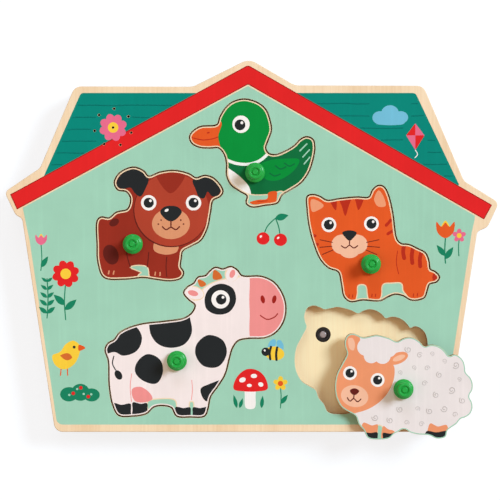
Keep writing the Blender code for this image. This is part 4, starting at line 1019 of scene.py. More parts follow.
# %% Duck
duck_picture = [
    ("forest", oval(0, 10, 60, 60)),
    ("white", blob((-20, 4), (-13, 0.5), (-7, -4.5), (-3.5, -9), (-3, -16), (-22, -14))),
    *gap_in(blob((-8, -13.6), (0, -14), (9, -13.6), (17, -12), (19, -24), (-10, -24))),
    ("orange", blob((8.2, -12.2), (13.2, -11.6), (13.4, -14.5), (12.6, -17.8), (6, -18.8), (-1.6, -19.4),
                    (-3.2, -18.2), (1.6, -16.6), (7.4, -15.8))),
    ("stripe", stroke(0.5, (1.6, -17.7), (7.5, -17.2))),
    ("grass", blob((-22, 20), (-24, 32), (-18, 46), (-4, 48), (10, 42), (14, 28), (9, 18), (8.4, 11),
                   (3.5, 6.5), (-6, 4.8), (-20, 7.5))),
    ("white", stroke(1.8, (-19, 8.6), (-12, 5.8), (-4, 5.2), (3, 7.4), (9, 12.8))),
    ("orange", blob((-21.6, 14), (-22.6, 22), (-20.6, 31), (-30, 31), (-42, 29), (-44, 15), (-32, 12))),
    *inked("stripe", stroke(0.6, (-38.4, 21.4), (-32, 20), (-25.5, 20.8), (-22.8, 21.8)),
           oval(-28.6, 24.4, 0.9, 0.5, 10)),
    *eye(-8.6, 29.6, 5.3, 3.3, (-0.6, -0.4)),
    ("grass", blob((2.5, 4.5), (10, 7.8), (19, 8.6), (27, 8), (25.5, 3.6), (20.5, -1.4), (14, -4.6),
                   (7.5, -4.4), (3, -1))),
    *inked("forest", stroke(0.8, (12.5, 4.2), (15.5, 2.2), (18.8, 3.6)),
           stroke(0.8, (18, 5.8), (21, 4), (24, 5.4)), stroke(0.8, (9, -0.4), (12, -2), (15.4, -0.8))),
    *inked("mint", stroke(0.8, (27.4, 13.4), (31.6, 17.6)), stroke(0.8, (29.2, 9.6), (33.2, 14)),
           stroke(0.8, (30, 5.4), (33.4, 9.4))),
]

# %% Cat
cat_picture = [
    ("orange", oval(0, 12, 60, 60)),
    *gap_in(blob((-7.4, -13.4), (-3.6, -13.4), (-2.6, -18), (-2.2, -26), (-8.6, -26), (-7.8, -18))),
    *gap_in(blob((7.8, -12.8), (13, -12), (18.4, -12.2), (19.4, -16.5), (22, -20.2), (22, -25), (5, -25),
                 (6.9, -19.5))),
    *inked("peach", blob((-36.4, 39.4), (-31.8, 38.4), (-28.8, 35.6), (-32, 33), (-35.8, 32)),
           blob((4.8, 45), (7.6, 41.6), (9, 35.5), (4.4, 35.2), (2, 39.6))),
    *inked("stripe", blob((-19.6, 42), (-17.6, 35), (-15.6, 29.4), (-13.6, 35), (-12, 42)),
           blob((-25.6, 41), (-23.8, 36), (-21.4, 32.8), (-20.8, 37), (-21.4, 42)),
           blob((-9.6, 42), (-9, 37), (-7.6, 33), (-5.4, 36.4), (-4.4, 42)),
           stroke(2.4, (20.6, 13), (19.8, 7.6), (20.4, 3.6)), stroke(2.4, (26, 11), (25, 5), (25.4, 0.6)),
           stroke(2.4, (31.4, 9), (30, 3), (30.2, -1.4)), stroke(1.8, (12.4, 27), (9.4, 23.6)),
           stroke(1.8, (14, 20.6), (10.4, 18.4)), stroke(1.8, (-38, 18), (-34, 17.2)),
           stroke(1.8, (-37, 12), (-32.6, 12)), oval(40, -8.2, 2.4, 3.2)),
    *inked("pale_peach", oval(-17.4, 12, 6.6, 6), oval(-8.6, 12, 6.6, 6), oval(-13, 9, 6.5, 5.4)),
    ("black", blob((-17.4, 19.2), (-13, 20.6), (-8.6, 19.2), (-10.6, 16), (-13, 14.2), (-15.4, 16))),
    *inked("dark_brown", stroke(0.7, (-13, 14.4), (-13, 11.6)),
           stroke(0.7, (-18, 11.2), (-15.6, 9.8), (-13, 11.4), (-10.4, 9.8), (-8, 11.2)),
           stroke(0.5, (-23.4, 13.2), (-31, 14.8)), stroke(0.5, (-23.8, 10.8), (-31.2, 10.2)),
           stroke(0.5, (-23, 8.6), (-29.6, 5.8)), stroke(0.5, (-2.6, 13.2), (5, 14.8)),
           stroke(0.5, (-2.2, 10.8), (5.4, 10.2)), stroke(0.5, (-3, 8.6), (3.6, 5.8))),
    *eye(-25.6, 24, 4.5, 3.1), *eye(0.4, 24.6, 4.5, 3.1),
    *inked("stripe", stroke(0.6, (-13.4, -20.4), (-13.2, -18.8)), stroke(0.6, (-11.2, -20.4), (-11, -18.8)),
           stroke(0.6, (0.6, -20), (0.8, -18.4)), stroke(0.6, (2.8, -20), (3, -18.4)),
           stroke(0.6, (26, -19.8), (26.2, -18.2)), stroke(0.6, (28.4, -19.6), (28.6, -18)),
           stroke(0.5, (16.4, 8), (15.6, 1), (17, -6))),
]

# %% Cow
cow_picture = [
    ("cow", oval(10, 10, 80, 80)),
    *gap_in(blob((2, 42), (7, 48), (13, 55), (22, 60), (38, 60), (40.5, 52.6), (33, 51), (25, 49.2),
                 (18, 46), (14, 42), (11.6, 37.5), (5, 38))),
    *gap_in(blob((-17.6, -25.4), (-9, -23.6), (-1.4, -24.6), (-0.6, -30), (-0.8, -38), (-18, -38),
                 (-17.4, -31))),
    *gap_in(blob((8.2, -25.6), (9.6, -25.6), (9.8, -31), (9.6, -37), (8.2, -37), (8, -31))),
    (None, oval(10.4, 41.2, 6.4, 4.4, -15)), ("cow", oval(10.6, 41.2, 5.7, 3.7, -15)),
    ("pink", oval(9.8, 41.2, 3.2, 1.7, -15)), (None, oval(33.6, 53.2, 4.4, 5.2, -20)),
    ("cow", oval(33.6, 52.6, 3.7, 4.6, -20)), ("pink", oval(33.8, 53, 1.6, 2.6, -20)),
    *inked("horn", blob((12.6, 49.6), (14.4, 45), (17.8, 46.4), (16.4, 48.4)),
           blob((22.6, 55.4), (22.2, 49.6), (27.6, 50.4), (26, 53.6))),
    *inked("black",
           blob((-46, 16), (-34, 22), (-25.5, 21), (-21.4, 14), (-24.5, 6), (-33, 3), (-38, 5.2), (-46, 4)),
           blob((-15, 30), (-16.6, 18), (-12, 10.4), (-4, 7.8), (4.6, 10), (9, 17), (8, 26), (6, 34)),
           blob((-24.4, -1), (-18, 4), (-10.4, 0.6), (-8.6, -7), (-12.6, -14), (-20.6, -12.4), (-25.6, -7)),
           blob((12, 10), (19, 15.6), (28, 12.4), (30.4, 4.4), (25.4, -3.6), (16.4, -3.4), (11.4, 3.2)),
           blob((14.4, -17.4), (19, -14.6), (30, -12), (30, -24), (17.4, -24.6)),
           blob((17, 38.4), (20, 44.2), (27, 47), (34.2, 44), (36, 36.4), (31.8, 29.6), (24, 28.2),
                (18, 31.6))),
    ("white", oval(26.6, 37.4, 5.6, 5.6)), *eye(26.6, 37.4, 4.6, 3.2, (0.4, 0)),
    ("pink", blob((46.4, 56), (44.4, 44), (44.4, 30), (46.6, 10), (72, 8), (74, 56))),
    *inked("dark_red", oval(52.4, 37.4, 1.3, 2.5, 12), oval(59.4, 37.4, 1.3, 2.5, -12),
           stroke(0.7, (51, 27.6), (55, 25.2), (59.6, 26.6), (61.4, 28.6))),
    *inked("pink",
           blob((-27.5, -17.5), (-22.5, -16), (-17, -19.4), (-15, -23.4), (-20.4, -25.6), (-26, -24.4)),
           stroke(0.45, (-27.6, -8), (-28.6, -16), (-27.8, -25)),
           stroke(0.45, (9, -12), (9.4, -18), (8.8, -24))),
    *inked("black", blob((-39.6, -26), (-34, -27), (-28.4, -26.4), (-28.2, -31), (-28.4, -37), (-40, -37)),
           blob((-27, -25.6), (-22, -26.4), (-18.4, -26), (-18, -30), (-18.2, -37), (-27, -37),
                (-27.2, -30)),
           blob((-0.8, -28.4), (4, -29), (8, -28.6), (8.4, -33), (8.2, -38), (-1, -38), (-1, -33)),
           blob((9.8, -28.6), (14, -29), (20, -28.4), (20, -38), (10, -38), (9.6, -33)),
           stroke(0.7, (-38.6, 2.6), (-39.4, -2), (-37, -6.4)), oval(-35.8, -8.8, 2.1, 3.1, 30)),
]

# %% Sheep
sheep_picture = [
    ("wool", oval(0, 0, 60, 60)),
    *gap_in(blob((-15.2, -22.4), (-13.4, -22.8), (-12.4, -26), (-12.8, -33), (-15.6, -33), (-15.4, -27))),
    *inked("face", blob((-24.4, -20.6), (-19, -22.2), (-15.6, -21.6), (-15.8, -27), (-16, -34), (-25, -34)),
           blob((-12.2, -22.6), (-9, -24.6), (-6, -25.4), (-4, -29), (-6, -35), (-12.4, -35)),
           blob((16.4, -21), (21, -22.8), (26.4, -22), (27.4, -27), (27, -34), (15, -34), (14.6, -27))),
    *inked("black",
           blob((-26, -26.4), (-20, -26.8), (-15.8, -26.4), (-15.6, -30), (-15.8, -35), (-26, -35)),
           blob((-12.4, -26.8), (-8, -27.2), (-4, -26.8), (-4, -35), (-12.6, -35), (-12.4, -30)),
           blob((14, -25.8), (20, -26.4), (28, -25.8), (28, -35), (14, -35))),
    ("face", blob((-38, 36), (-30, 36), (-26.4, 31), (-26.6, 24), (-22, 20), (-12, 18.5), (-6, 14.5),
                  (-5.4, 8), (-8, 0), (-13, -6.6), (-20, -11.6), (-28, -14.4), (-42, -16), (-46, 0),
                  (-42, 20))),
    ("pale_peach", blob((-33.4, 30.4), (-31, 31), (-29.4, 27.6), (-30.2, 23.4), (-32.6, 24.4))),
    ("face", oval(-3.4, 18.6, 6.6, 3.4, 22)), ("pale_peach", oval(-2.6, 18.8, 4, 1.6, 22)),
    *inked("wool", oval(-22.4, 25.4, 5.6, 5.4), oval(-15.2, 28.4, 6.2, 6), oval(-9, 24.2, 5, 5),
           oval(-19.4, 20, 4.6, 4.4), oval(-12.6, 19.6, 4.8, 4.4)),
    ("pale_peach", oval(-29.6, -4.4, 8.4, 6.6, -12)),
    *inked("dark_brown",
           blob((-32.4, -0.8), (-29.6, 0.4), (-26.8, -1.2), (-28, -3), (-29.8, -3.8), (-31.6, -2.8)),
           stroke(0.7, (-29.9, -3.6), (-30.2, -5.8)),
           stroke(0.7, (-34, -5.4), (-32.4, -7.4), (-30.2, -5.9), (-27.8, -7.8), (-25.8, -6.2))),
    *eye(-32.4, 9.6, 4.2, 2.8), *eye(-15.6, 5.4, 4.2, 2.8),
]

# %% The five prints
PICTURES = {"dog": dog_picture, "duck": duck_picture, "cat": cat_picture, "cow": cow_picture,
            "sheep": sheep_picture}
PRINT_GAP = 0.12     # bare wood from an animal's or a recess's edge to the print
RIM = 0.72           # from an animal's edge to its picture, in bare wood or in an ink
RIMS = {"dog": None, "duck": None, "cat": None, "cow": "cow", "sheep": "mint"}
for name, picture in PICTURES.items():
    at = KNOBS[name]
    top = height_range(f"{name}_piece")[1]
    edge = moved(ANIMALS[name], at)
    film = print_film(f"{name}_print", grown(edge, -PRINT_GAP), [], shifted(picture, at), top,
                      (grown(edge, -RIM), RIMS[name]))
    settle(film, name, f"{name}_paint")

# %% [markdown]
# ## The house's picture
# The board is printed as a house: a mint wall, a red gable band and two teal roofs, with a margin of bare
# wood along every edge. The wall carries small garden pictures, each again a list of shapes. The print
# stops at the recesses, so their outlines, drawn a little wider, are left out of the film.

# %% Wall, roofs and band
WALL = [(-117.8, -109.1, 4.0), (117.5, -109.1, 4.0), (135.4, 8.0, 2.0), (137.2, 16.0, 1.0),
        (138.0, 24.0, 0.5), (-1.2, 104.0, 2.0), (-138.7, 29.0, 0.5), (-138.7, 22.6, 0.5), (-134.7, 3.7, 6.0)]
ROOF_LEFT = [(-125.9, 42.8, 0.8), (-103.3, 93.5, 2.5), (-34.0, 93.5, 0.8), (-24.0, 91.5, 0.5),
             (-123.5, 38.0, 0.5)]
ROOF_RIGHT = [(127.7, 37.6, 0.8), (101.1, 93.5, 2.5), (29.0, 93.5, 0.8), (20.0, 91.5, 0.5),
              (125.0, 32.4, 0.5)]
BAND_TOP = [(-146.6, 31.5), (-1.2, 110.6), (147.9, 25.1)]
BAND_BOTTOM = [(-142.4, 22.3), (-1.2, 98.7), (143.0, 16.2)]
BAND_SHADE = 0.55      # width of the band's dark edge
BARE_STRIP = 0.9       # of bare wood under the band


def band_outline(top, bottom, inset):
    """The gable band between its top line and its bottom line, drawn in by inset."""
    corners = [(*top[0], 0.3), (*bottom[0], 0.3), (*bottom[1], 0.8), (*bottom[2], 0.3), (*top[2], 0.3),
               (*top[1], 3.0)]
    return grown(cornered(corners, 6), -inset)


under = [(x, y - BARE_STRIP) for x, y in BAND_BOTTOM]
house_picture = [
    ("teal", cornered(ROOF_LEFT, 6)), ("teal", cornered(ROOF_RIGHT, 6)), ("mint", cornered(WALL, 6)),
    (None, band_outline(BAND_TOP, under, 0.0)), ("dark_red", band_outline(BAND_TOP, BAND_BOTTOM, 0.0)),
    ("red", band_outline(BAND_TOP, BAND_BOTTOM, BAND_SHADE)),
]

# %% Garden pictures
def flower(x, y, petals, reach, size, colour, centre):
    shapes = []
    for i in range(petals):
        a = 2 * math.pi * i / petals + 0.3
        shapes.append((colour, oval(x + reach * math.cos(a), y + reach * math.sin(a), size, size * 0.8,
                                    math.degrees(a), 20)))
    return shapes + [(centre, oval(x, y, reach * 0.62, reach * 0.62, 0, 24))]


def tulip(x, y, size, colour, inner):
    """A flower of three petals: its points are shares of its size, counted from its middle."""
    petal = [(-0.5, 0.2), (0, 1.15), (0.5, 0.2)]
    cup = [(-1, 1), (-0.45, 0.45), (0, 0.9), (0.45, 0.45), (1, 1), (0.9, -0.2), (0, -0.85), (-0.9, -0.2)]
    return [(ink_name, blob(*[(x + size * u, y + size * v) for u, v in points]))
            for ink_name, points in ((inner, petal), (colour, cup))]


def sprig(x, y, height, steps, length):
    """A stem with leaves in pairs."""
    shapes = [("leaf", stroke(0.7, (x, y), (x + 0.6, y + height / 2), (x, y + height)))]
    for i in range(steps):
        level = y + height * (i + 0.6) / steps
        reach = length * (1 - 0.4 * i / steps)
        shapes += [("leaf", leaf(x, level, reach, reach * 0.42, 38)),
                   ("leaf", leaf(x, level, reach, reach * 0.42, 142))]
    return shapes


garden = [
    *inked("leaf", stroke(0.7, (-112.6, -45), (-113.4, -34), (-112.6, -22)), leaf(-113, -39, 9.5, 4, 42),
           leaf(-113, -36, 9.5, 4, 138)),
    *flower(-112.6, -17, 8, 5.2, 3.2, "red", "yellow"), *sprig(-124, -44, 24, 5, 6.4),
    *tulip(-127.6, 3.5, 3.4, "rose", "yellow"),
    *inked("leaf", stroke(0.6, (-127.6, 0.4), (-127.2, -8), (-127.8, -15)), leaf(-127.6, -13, 8, 3.2, 58)),
    *inked("orange", stroke(0.7, (-115.4, -75), (-115.8, -79)), stroke(0.7, (-111.6, -75), (-111.4, -79))),
    ("yellow", blob((-120.8, -67), (-116, -64.6), (-112.6, -60), (-108, -57.8), (-103.8, -61),
                    (-104.4, -66.4), (-107.6, -72.4), (-113.6, -75.4), (-119, -72.8))),
    ("orange", blob((-104.6, -60.4), (-100.6, -62.2), (-104.6, -64))),
    ("black", oval(-107.4, -61.8, 0.9, 0.9)), ("horn", leaf(-108.6, -68.2, 7.6, 4.4, 170)),
    *inked("leaf", oval(-110.6, -90.6, 5.4, 4.4), oval(-103.6, -89.4, 5.6, 5.2), oval(-96.8, -91, 5, 4)),
    *inked("mint", oval(-105.6, -87.4, 0.7, 0.7), oval(-101.6, -90.4, 0.7, 0.7),
           oval(-110.4, -91, 0.7, 0.7), oval(-97, -90.6, 0.7, 0.7)),
    *inked("red", oval(-103.4, -86.6, 1.1, 1.1), oval(-108, -90, 1.1, 1.1), oval(-98.8, -92, 1.1, 1.1)),
    *inked("leaf", stroke(0.7, (8.4, 6.4), (10.6, 12), (15.6, 17)),
           stroke(0.7, (18.4, 5.6), (17.6, 11.4), (15.6, 17)), leaf(15.4, 16.8, 8.4, 4.2, 14)),
    *inked("red", oval(8, 4.6, 4, 3.8), oval(18.6, 3.8, 4, 3.8)),
    *inked("white", oval(6.6, 5.8, 0.9, 0.6, 40), oval(17.2, 5, 0.9, 0.6, 40),
           blob((-2.4, -99), (-3.2, -92), (-2.6, -86), (3, -86), (3.4, -92), (2.8, -99))),
    ("red", blob((-10, -87.4), (-8, -80), (-1.6, -75.2), (5.4, -76.4), (9.8, -81.4), (10.6, -87.4),
                 (5, -88.8), (-4, -88.8))),
    *inked("white", oval(-4.6, -81.8, 2, 1.5, 20), oval(2.4, -79.4, 1.9, 1.3),
           oval(6.6, -84.6, 1.6, 1.3, -20), oval(-0.4, -85.2, 1.5, 1)),
    *inked("leaf", leaf(-8, -99, 8.4, 2.4, 104), leaf(-6.4, -99, 6.4, 2.2, 72), leaf(7, -99, 7.6, 2.4, 84),
           stroke(0.6, (18.6, -99), (19, -92), (18.6, -86)), leaf(18.8, -96.4, 7, 2.8, 52)),
    *flower(18.6, -84, 5, 2.6, 1.9, "yellow", "orange"),
    *inked("sky", oval(13.4, -60.2, 3.6, 2.1, 60), oval(18.4, -60.6, 3.4, 2, 110)),
    ("yellow", oval(15, -65.6, 6, 4.2, -8)),
    *inked("black", stroke(1.4, (12.8, -61.6), (12, -65.4), (12.4, -69.2)),
           stroke(1.4, (16.6, -62), (16, -65.8), (16.2, -69.6)), oval(9.6, -64.6, 2.6, 2.6)),
    ("white", oval(9, -63.8, 0.6, 0.6)),
    *inked("leaf", stroke(0.8, (119.4, -10.5), (119, -3), (119.4, 5)), leaf(119.2, -8, 9, 3.6, 56),
           leaf(119.2, -6, 8.4, 3.4, 128)),
    *tulip(119.4, 9.4, 5.4, "orange", "yellow"), ("leaf", stroke(0.6, (127.6, -6), (127.4, 0), (127.8, 4))),
    *flower(127.8, 6.4, 5, 2.4, 1.8, "rose", "yellow"),
]
roof_pictures = [
    *flower(*speaker, 8, 5.2, 3.3, "rose", "yellow"),
    *inked("sky", oval(79.4, 78.4, 4.6, 4), oval(85.6, 81, 5.4, 5), oval(92, 78.6, 4.6, 3.8),
           stroke(4.4, (78.6, 76.4), (86, 76), (92.6, 76.4))),
    ("rose", cornered([(101, 75, 0.4), (95.4, 67.6, 0.4), (101, 58.6, 0.4), (106.6, 67.6, 0.4)], 3)),
    *inked("red", cornered([(101, 75, 0.4), (95.4, 67.6, 0.4), (101, 67.6, 0.2)], 3),
           cornered([(101, 58.6, 0.4), (106.6, 67.6, 0.4), (101, 67.6, 0.2)], 3)),
    ("white", stroke(0.5, (101, 58.6), (102.4, 56), (100.8, 54))),
]
face_top = LAYERS["face_board"][1]
EDGE_MARGIN = 1.0        # bare wood along the board's edge
print_area = grown(house, -EDGE_MARGIN)
print_holes = [grown(recess, PRINT_GAP) for recess in recesses.values()]
print_holes += [grown(hole, CUT_ROUNDING) for hole in sound_holes]
wall_film = print_film("house_print", print_area, print_holes, house_picture + garden + roof_pictures,
                       face_top)
settle(wall_film, "board", "printed_wood")

# %% [markdown]
# ## Roof boards
# Thin darker lines across the teal roofs stand for rows of shingles. They follow a rule and waver a little,
# as if drawn by hand. Each row runs level between the roof's slope and the band, and is left open round the
# pictures and the sound holes. A Geometry Nodes tree divides each straight stretch of a row, shifts its
# points by noise, and sweeps a flat section along it.

# %% A tree for wavering printed lines
drawn, given, result = new_tree(
    "drawn_lines", "GeometryNodeTree",
    [("Lines", GEOMETRY, None), ("Line width", FLOAT, 0.0006), ("Line height", FLOAT, 0.00004),
     ("Step", FLOAT, 0.002), ("Waver", FLOAT, 0.0004), ("Seed", FLOAT, 1.0), ("Material", MATERIAL, None)],
    [("Result", GEOMETRY)])


def flat_lines(tree, curve, given):
    """Sweeps a flat section of the given width and height along a curve."""
    level = node(tree, "GeometryNodeSetCurveNormal", {"Curve": curve}, mode="Z_UP")
    section = node(tree, "GeometryNodeCurvePrimitiveQuadrilateral", {"Width": given["Line width"],
                                                                     "Height": given["Line height"]})
    return node(tree, "GeometryNodeCurveToMesh", {"Curve": level.outputs[0], "Fill Caps": True,
                                                  "Profile Curve": section.outputs[0]}).outputs[0]


path = node(drawn, "GeometryNodeMeshToCurve", {0: given["Lines"]})
steps = node(drawn, "GeometryNodeResampleCurve", {"Curve": path.outputs[0], "Length": given["Step"]},
             mode="LENGTH")
here = node(drawn, "GeometryNodeInputPosition")
wave = node(drawn, "ShaderNodeTexNoise", {"Vector": here.outputs[0], "W": given["Seed"], "Scale": 60.0,
                                          "Detail": 1.0}, noise_dimensions="4D")
centred = maths(drawn, "SUBTRACT", wave.outputs["Fac"], 0.5)
aside = node(drawn, "ShaderNodeCombineXYZ", {"Y": maths(drawn, "MULTIPLY", centred, given["Waver"])})
wavy = node(drawn, "GeometryNodeSetPosition", {"Geometry": steps.outputs[0], "Offset": aside.outputs[0]})
make_real(drawn, flat_lines(drawn, wavy.outputs[0], given), given["Material"], result)


def plain_ink(name, colour):
    """An ink for lines, as a material of one colour in the same print."""
    return finish(name, ink, 0.00001, VARNISH, Ink=colour, Streaks=0.05)


line_teal = plain_ink("shingle_line_ink", paint(0, 118, 107))
line_grey = plain_ink("wool_line_ink", INKS["grey"])

# %% Roof lines
LINE_MARGIN = 1.5                 # from a line's end to the slope or the band
SHORTEST = 2                      # the shortest stretch that is drawn
HOLE_WIDTH, HOLE_HEIGHT = 2, 1.6  # half the size of the clear space round a sound hole
ROWS_LEFT = (86.0, 78.6, 71.4, 64.2, 57.0, 49.8)
ROWS_RIGHT = (87.2, 79.6, 72.2, 64.8, 57.4, 50.0, 42.8)
line_z = face_top + FILM_RISE
clear_boxes = [(-94.0, 62.0, -73.4, 82.6), (73.0, 72.5, 98.5, 87.5), (93.5, 53.0, 108.5, 76.5)]
clear_boxes += [(p.x - HOLE_WIDTH, p.y - HOLE_HEIGHT, p.x + HOLE_WIDTH, p.y + HOLE_HEIGHT)
                for p in sound_places]
ends, edges = [], []


def level_row(y, start, end):
    """Adds a row of shingles at the height y, left open where it would cross a clear box."""
    parts = [(start, end)]
    for x0, y0, x1, y1 in clear_boxes:
        if y0 < y < y1:
            cuts = [piece for a, b in parts for piece in ((a, min(b, x0)), (max(a, x1), b))]
            parts = [(a, b) for a, b in cuts if b - a > SHORTEST]
    for a, b in parts:
        edges.append((len(ends), len(ends) + 1))
        ends.extend([(a, y, line_z), (b, y, line_z)])


def x_at(y, first, second):
    """Where the straight line through two corners reaches the height y."""
    return first[0] + (y - first[1]) * (second[0] - first[0]) / (second[1] - first[1])


for y in ROWS_LEFT:
    level_row(y, x_at(y, *ROOF_LEFT[:2]) + LINE_MARGIN, x_at(y, *BAND_TOP[:2]) - LINE_MARGIN)
for y in ROWS_RIGHT:
    level_row(y, x_at(y, *BAND_TOP[1:]) + LINE_MARGIN, x_at(y, *ROOF_RIGHT[:2]) - LINE_MARGIN)
roof_lines = grow("roof_lines", ends, edges, drawn, Material=line_teal, Step=0.002, Waver=0.0016, Seed=3.0,
                  **{"Line width": 0.0007, "Line height": 0.00004})
print("rows of shingles drawn in", len(edges), "stretches")
settle(roof_lines, "board", "printed_wood")

# %% [markdown]
# ## The sheep's wool
# Loose curls are printed over the fleece. Each is the same small spiral, scattered at chosen points and
# turned and sized at random, which is what instances are for. The tree makes one spiral, gives it a flat
# section and puts a copy on every point.

# %% A tree for curls
curls, given, result = new_tree(
    "wool_curls", "GeometryNodeTree",
    [("Points", GEOMETRY, None), ("Curl radius", FLOAT, 0.002), ("Turns", FLOAT, 1.4),
     ("Line width", FLOAT, 0.0005), ("Line height", FLOAT, 0.00004), ("Turn", FLOAT, 6.28),
     ("Seed", WHOLE, 0), ("Material", MATERIAL, None)], [("Result", GEOMETRY)])
spiral = node(curls, "GeometryNodeCurveSpiral", {"Resolution": 18, "Rotations": given["Turns"], "Height": 0.0,
                                                 "Start Radius": 0.0004, "End Radius": given["Curl radius"]})
turn = random_value(curls, 0.0, given["Turn"], given["Seed"])
size = random_value(curls, 0.75, 1.2, given["Seed"])
curl = flat_lines(curls, spiral.outputs[0], given)
make_real(curls, on_points(curls, given["Points"], curl, turn, size), given["Material"], result)

# %% The curls
CURLS = [(3, 24), (10, 20.5), (17.5, 21.6), (25, 17), (32, 14.5), (6.5, 13), (14.5, 12.6), (22, 8.6), (34, 6),
         (29.5, -0.6), (13, 3.4), (20, -3.6), (36, -7), (8.6, -12), (-2, -12.4), (16, -13.4), (25, -12),
         (31.4, -15.6), (-8, -19), (2, -20.4), (11, -21.4), (-17, -17.4), (-2, 10)]
curl_z = height_range("sheep_piece")[1] + FILM_RISE
sheep_x, sheep_y = KNOBS["sheep"]
wool = grow("sheep_curls", [(x + sheep_x, y + sheep_y, curl_z) for x, y in CURLS], [], curls,
            Seed=7, Turn=6.28, Turns=1.35, Material=line_grey,
            **{"Curl radius": 0.0019, "Line width": 0.0005, "Line height": 0.00004})
highest = max(vertex.co.z for vertex in wool.data.vertices) / MM
print("curls rise over the print by mm:", round(highest - curl_z, 3))
settle(wool, "sheep", "sheep_paint")

# %% [markdown]
# ## Inside the box
# The circuit, the speaker and the battery box hide in the hollow and only show when the toy is opened.
# Their shapes in the model are right, so they stay and only get their materials. The battery door shows on
# the back, so it is made again with sanded corners and grip ribs.

# %% Materials for the parts that stay
STAYING = (
    (board_green, ["circuit_board"]), (black_plastic, ["sound_chip", "speaker_frame", "battery_box"]),
    (steel, ["circuit_screw_1", "circuit_screw_2", "speaker_magnet", "battery_spring_1", "battery_spring_2"]),
    (cone_paper, ["speaker_cone"]), (cell_wrap, ["battery_1", "battery_2"]),
    (nickel, ["battery_contact_1", "battery_contact_2"]),
    (lead_cover, ["speaker_lead", "battery_lead", *[f"{name}_sensor_lead" for name in ANIMALS]]),
)
for material, parts in STAYING:
    for part in parts:
        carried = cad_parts[part].data
        for slot in range(max(1, len(carried.materials))):
            if len(carried.materials) <= slot:
                carried.materials.append(material)
            carried.materials[slot] = material
print("parts kept from the model:", sum(1 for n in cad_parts.values() if not n.hide_render))

# %% Battery door
GRIP_COUNT = 9
GRIP_STEP = 2.2        # from one grip to the next
GRIP_START = 6.0       # from the door's edge to the middle of the first grip
GRIP_WIDTH = 1.0
GRIP_END = 5           # from a grip's end to the door's edge
FACE_DEPTH = 0.9       # thickness of the face that the grips are cut through
LAP = 0.2              # how far the face reaches into the door's body
door_bottom, door_top = height_range("battery_door")
(door_x, door_y0), (_, door_y1) = door_box
grips = []
for number in range(GRIP_COUNT):
    x = door_x + GRIP_START + GRIP_STEP * number
    grip_low = (x - GRIP_WIDTH / 2, door_y0 + GRIP_END)
    grip_high = (x + GRIP_WIDTH / 2, door_y1 - GRIP_END)
    grips.append(box_outline(grip_low, grip_high, 0.0, 0.45, 3))
door_line = box_outline(*door_box, 0.0, DOOR_CORNER)
screw_hole = ring(door_screw_at, 2.5, 32)
shell = board("door_face", door_line, [screw_hole] + grips, door_bottom, door_bottom + FACE_DEPTH, 0.2, None,
              None)
body = board("door_body", door_line, [screw_hole], door_bottom + FACE_DEPTH - LAP, door_top, 0.2, None, None)
door = joined("ribbed_battery_door", shell, body)
door.data.materials.append(black_plastic)
settle(door, "battery_door", "black_plastic", "battery_door")

# %% [markdown]
# ## Floor, light and camera
# The toy was photographed from straight above on a white ground. The shadows of the knobs tell where the
# main lamp stood: they fall to the lower left and are soft. So a large cool lamp stands at the upper right,
# like a window, with a weaker one beyond the roof. A weak fill from the left lifts that side a little, and
# a dim warm sky makes the shade brown. Where the camera sees the floor and the sky, both are white, and the
# floor keeps a faint shadow. Together the lamps and the sky light a level surface to about its own colour.

# %% Floor
def seen_directly(tree):
    """One for what the camera sees, even mirrored or through glass, and nought for light on the toy."""
    rays = node(tree, "ShaderNodeLightPath").outputs
    mirrored = maths(tree, "MAXIMUM", rays["Is Camera Ray"], rays["Is Glossy Ray"])
    return maths(tree, "MAXIMUM", mirrored, rays["Is Transmission Ray"])


FLOOR_REACH = 2500.0
FLOOR_DROP = -0.2
FLOOR_GLOW = 0.8       # the ground's own light, for what the camera sees
corners = ((-1, -1), (1, -1), (1, 1), (-1, 1))
floor = new_piece("floor", [(x * FLOOR_REACH, y * FLOOR_REACH, FLOOR_DROP) for x, y in corners],
                  [(0, 1, 2, 3)], ())
ground = bpy.data.materials.new("white_ground")
ground.use_nodes = True
tree = ground.node_tree
tree.nodes.clear()
surface = node(tree, "ShaderNodeOutputMaterial")
matte = node(tree, "ShaderNodeBsdfDiffuse", {"Color": (0.3, 0.3, 0.3, 1.0)})
glow = node(tree, "ShaderNodeEmission", {"Color": (0.93, 0.96, 1.0, 1.0), "Strength": FLOOR_GLOW})
both = node(tree, "ShaderNodeAddShader", {0: matte.outputs[0], 1: glow.outputs[0]})
seen = node(tree, "ShaderNodeMixShader", {0: seen_directly(tree), 1: matte.outputs[0], 2: both.outputs[0]})
tree.links.new(seen.outputs[0], surface.inputs["Surface"])
floor.data.materials.append(ground)

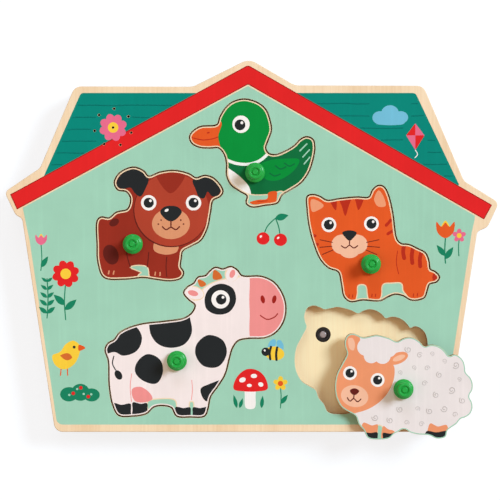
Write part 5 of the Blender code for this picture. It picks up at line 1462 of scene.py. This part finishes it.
# %% Lamp and sky
SKY = 0.34
WARM, COOL = (1.3, 0.95, 0.6), (0.68, 0.84, 1.0)
sky = bpy.data.worlds.new("studio")
sky.use_nodes = True
bpy.context.scene.world = sky
tree = sky.node_tree
room = tree.nodes["Background"]
room.inputs["Color"].default_value = (*WARM, 1.0)
room.inputs["Strength"].default_value = SKY
white = node(tree, "ShaderNodeBackground", {"Color": (1.0, 1.0, 1.0, 1.0), "Strength": 1.0})
seen = node(tree, "ShaderNodeMixShader", {0: seen_directly(tree), 1: room.outputs[0], 2: white.outputs[0]})
tree.links.new(seen.outputs[0], tree.nodes["World Output"].inputs["Surface"])


def lamp(name, azimuth, elevation, distance, width, watts, colour=(1.0, 1.0, 1.0)):
    """A square soft light that looks at the board's middle. Azimuth is counted from +X towards +Y."""
    light = bpy.data.lights.new(name, "AREA")
    light.size = width
    light.energy = watts
    light.color = colour
    placed_lamp = bpy.data.objects.new(name, light)
    bpy.context.scene.collection.objects.link(placed_lamp)
    a, e = math.radians(azimuth), math.radians(elevation)
    way = Vector((math.cos(e) * math.cos(a), math.cos(e) * math.sin(a), math.sin(e)))
    placed_lamp.location = way * distance
    placed_lamp.rotation_euler = way.to_track_quat("Z", "Y").to_euler()
    placed_lamp.visible_camera = False
    return placed_lamp


lamp("window_light", 28.0, 44.0, distance=8.0, width=2.56, watts=570.0, colour=COOL)
lamp("high_light", 95.0, 40.0, distance=8.0, width=2.8, watts=100.0, colour=COOL)
lamp("fill_light", 190.0, 42.0, distance=0.75, width=0.5, watts=0.6)

# %% Camera
CAMERA_HEIGHT = 1.3        # metres over the printed face
SENSOR = 36.0
PIXEL = 0.611              # millimetres of the toy in one pixel of the photo
PHOTO_WIDTH = 500          # pixels
PHOTO_MIDDLE_Y = -2.44     # millimetres from the origin to the middle of the photo
camera = bpy.data.cameras.new("camera")
camera.sensor_width = SENSOR
camera.lens = SENSOR * CAMERA_HEIGHT / (PIXEL * PHOTO_WIDTH * MM)
camera.clip_start = 0.01
view = bpy.data.objects.new("camera", camera)
view.location = (0.0, PHOTO_MIDDLE_Y * MM, face_top * MM + CAMERA_HEIGHT)
bpy.context.scene.collection.objects.link(view)
bpy.context.scene.camera = view
bpy.context.scene.view_settings.view_transform = "Standard"
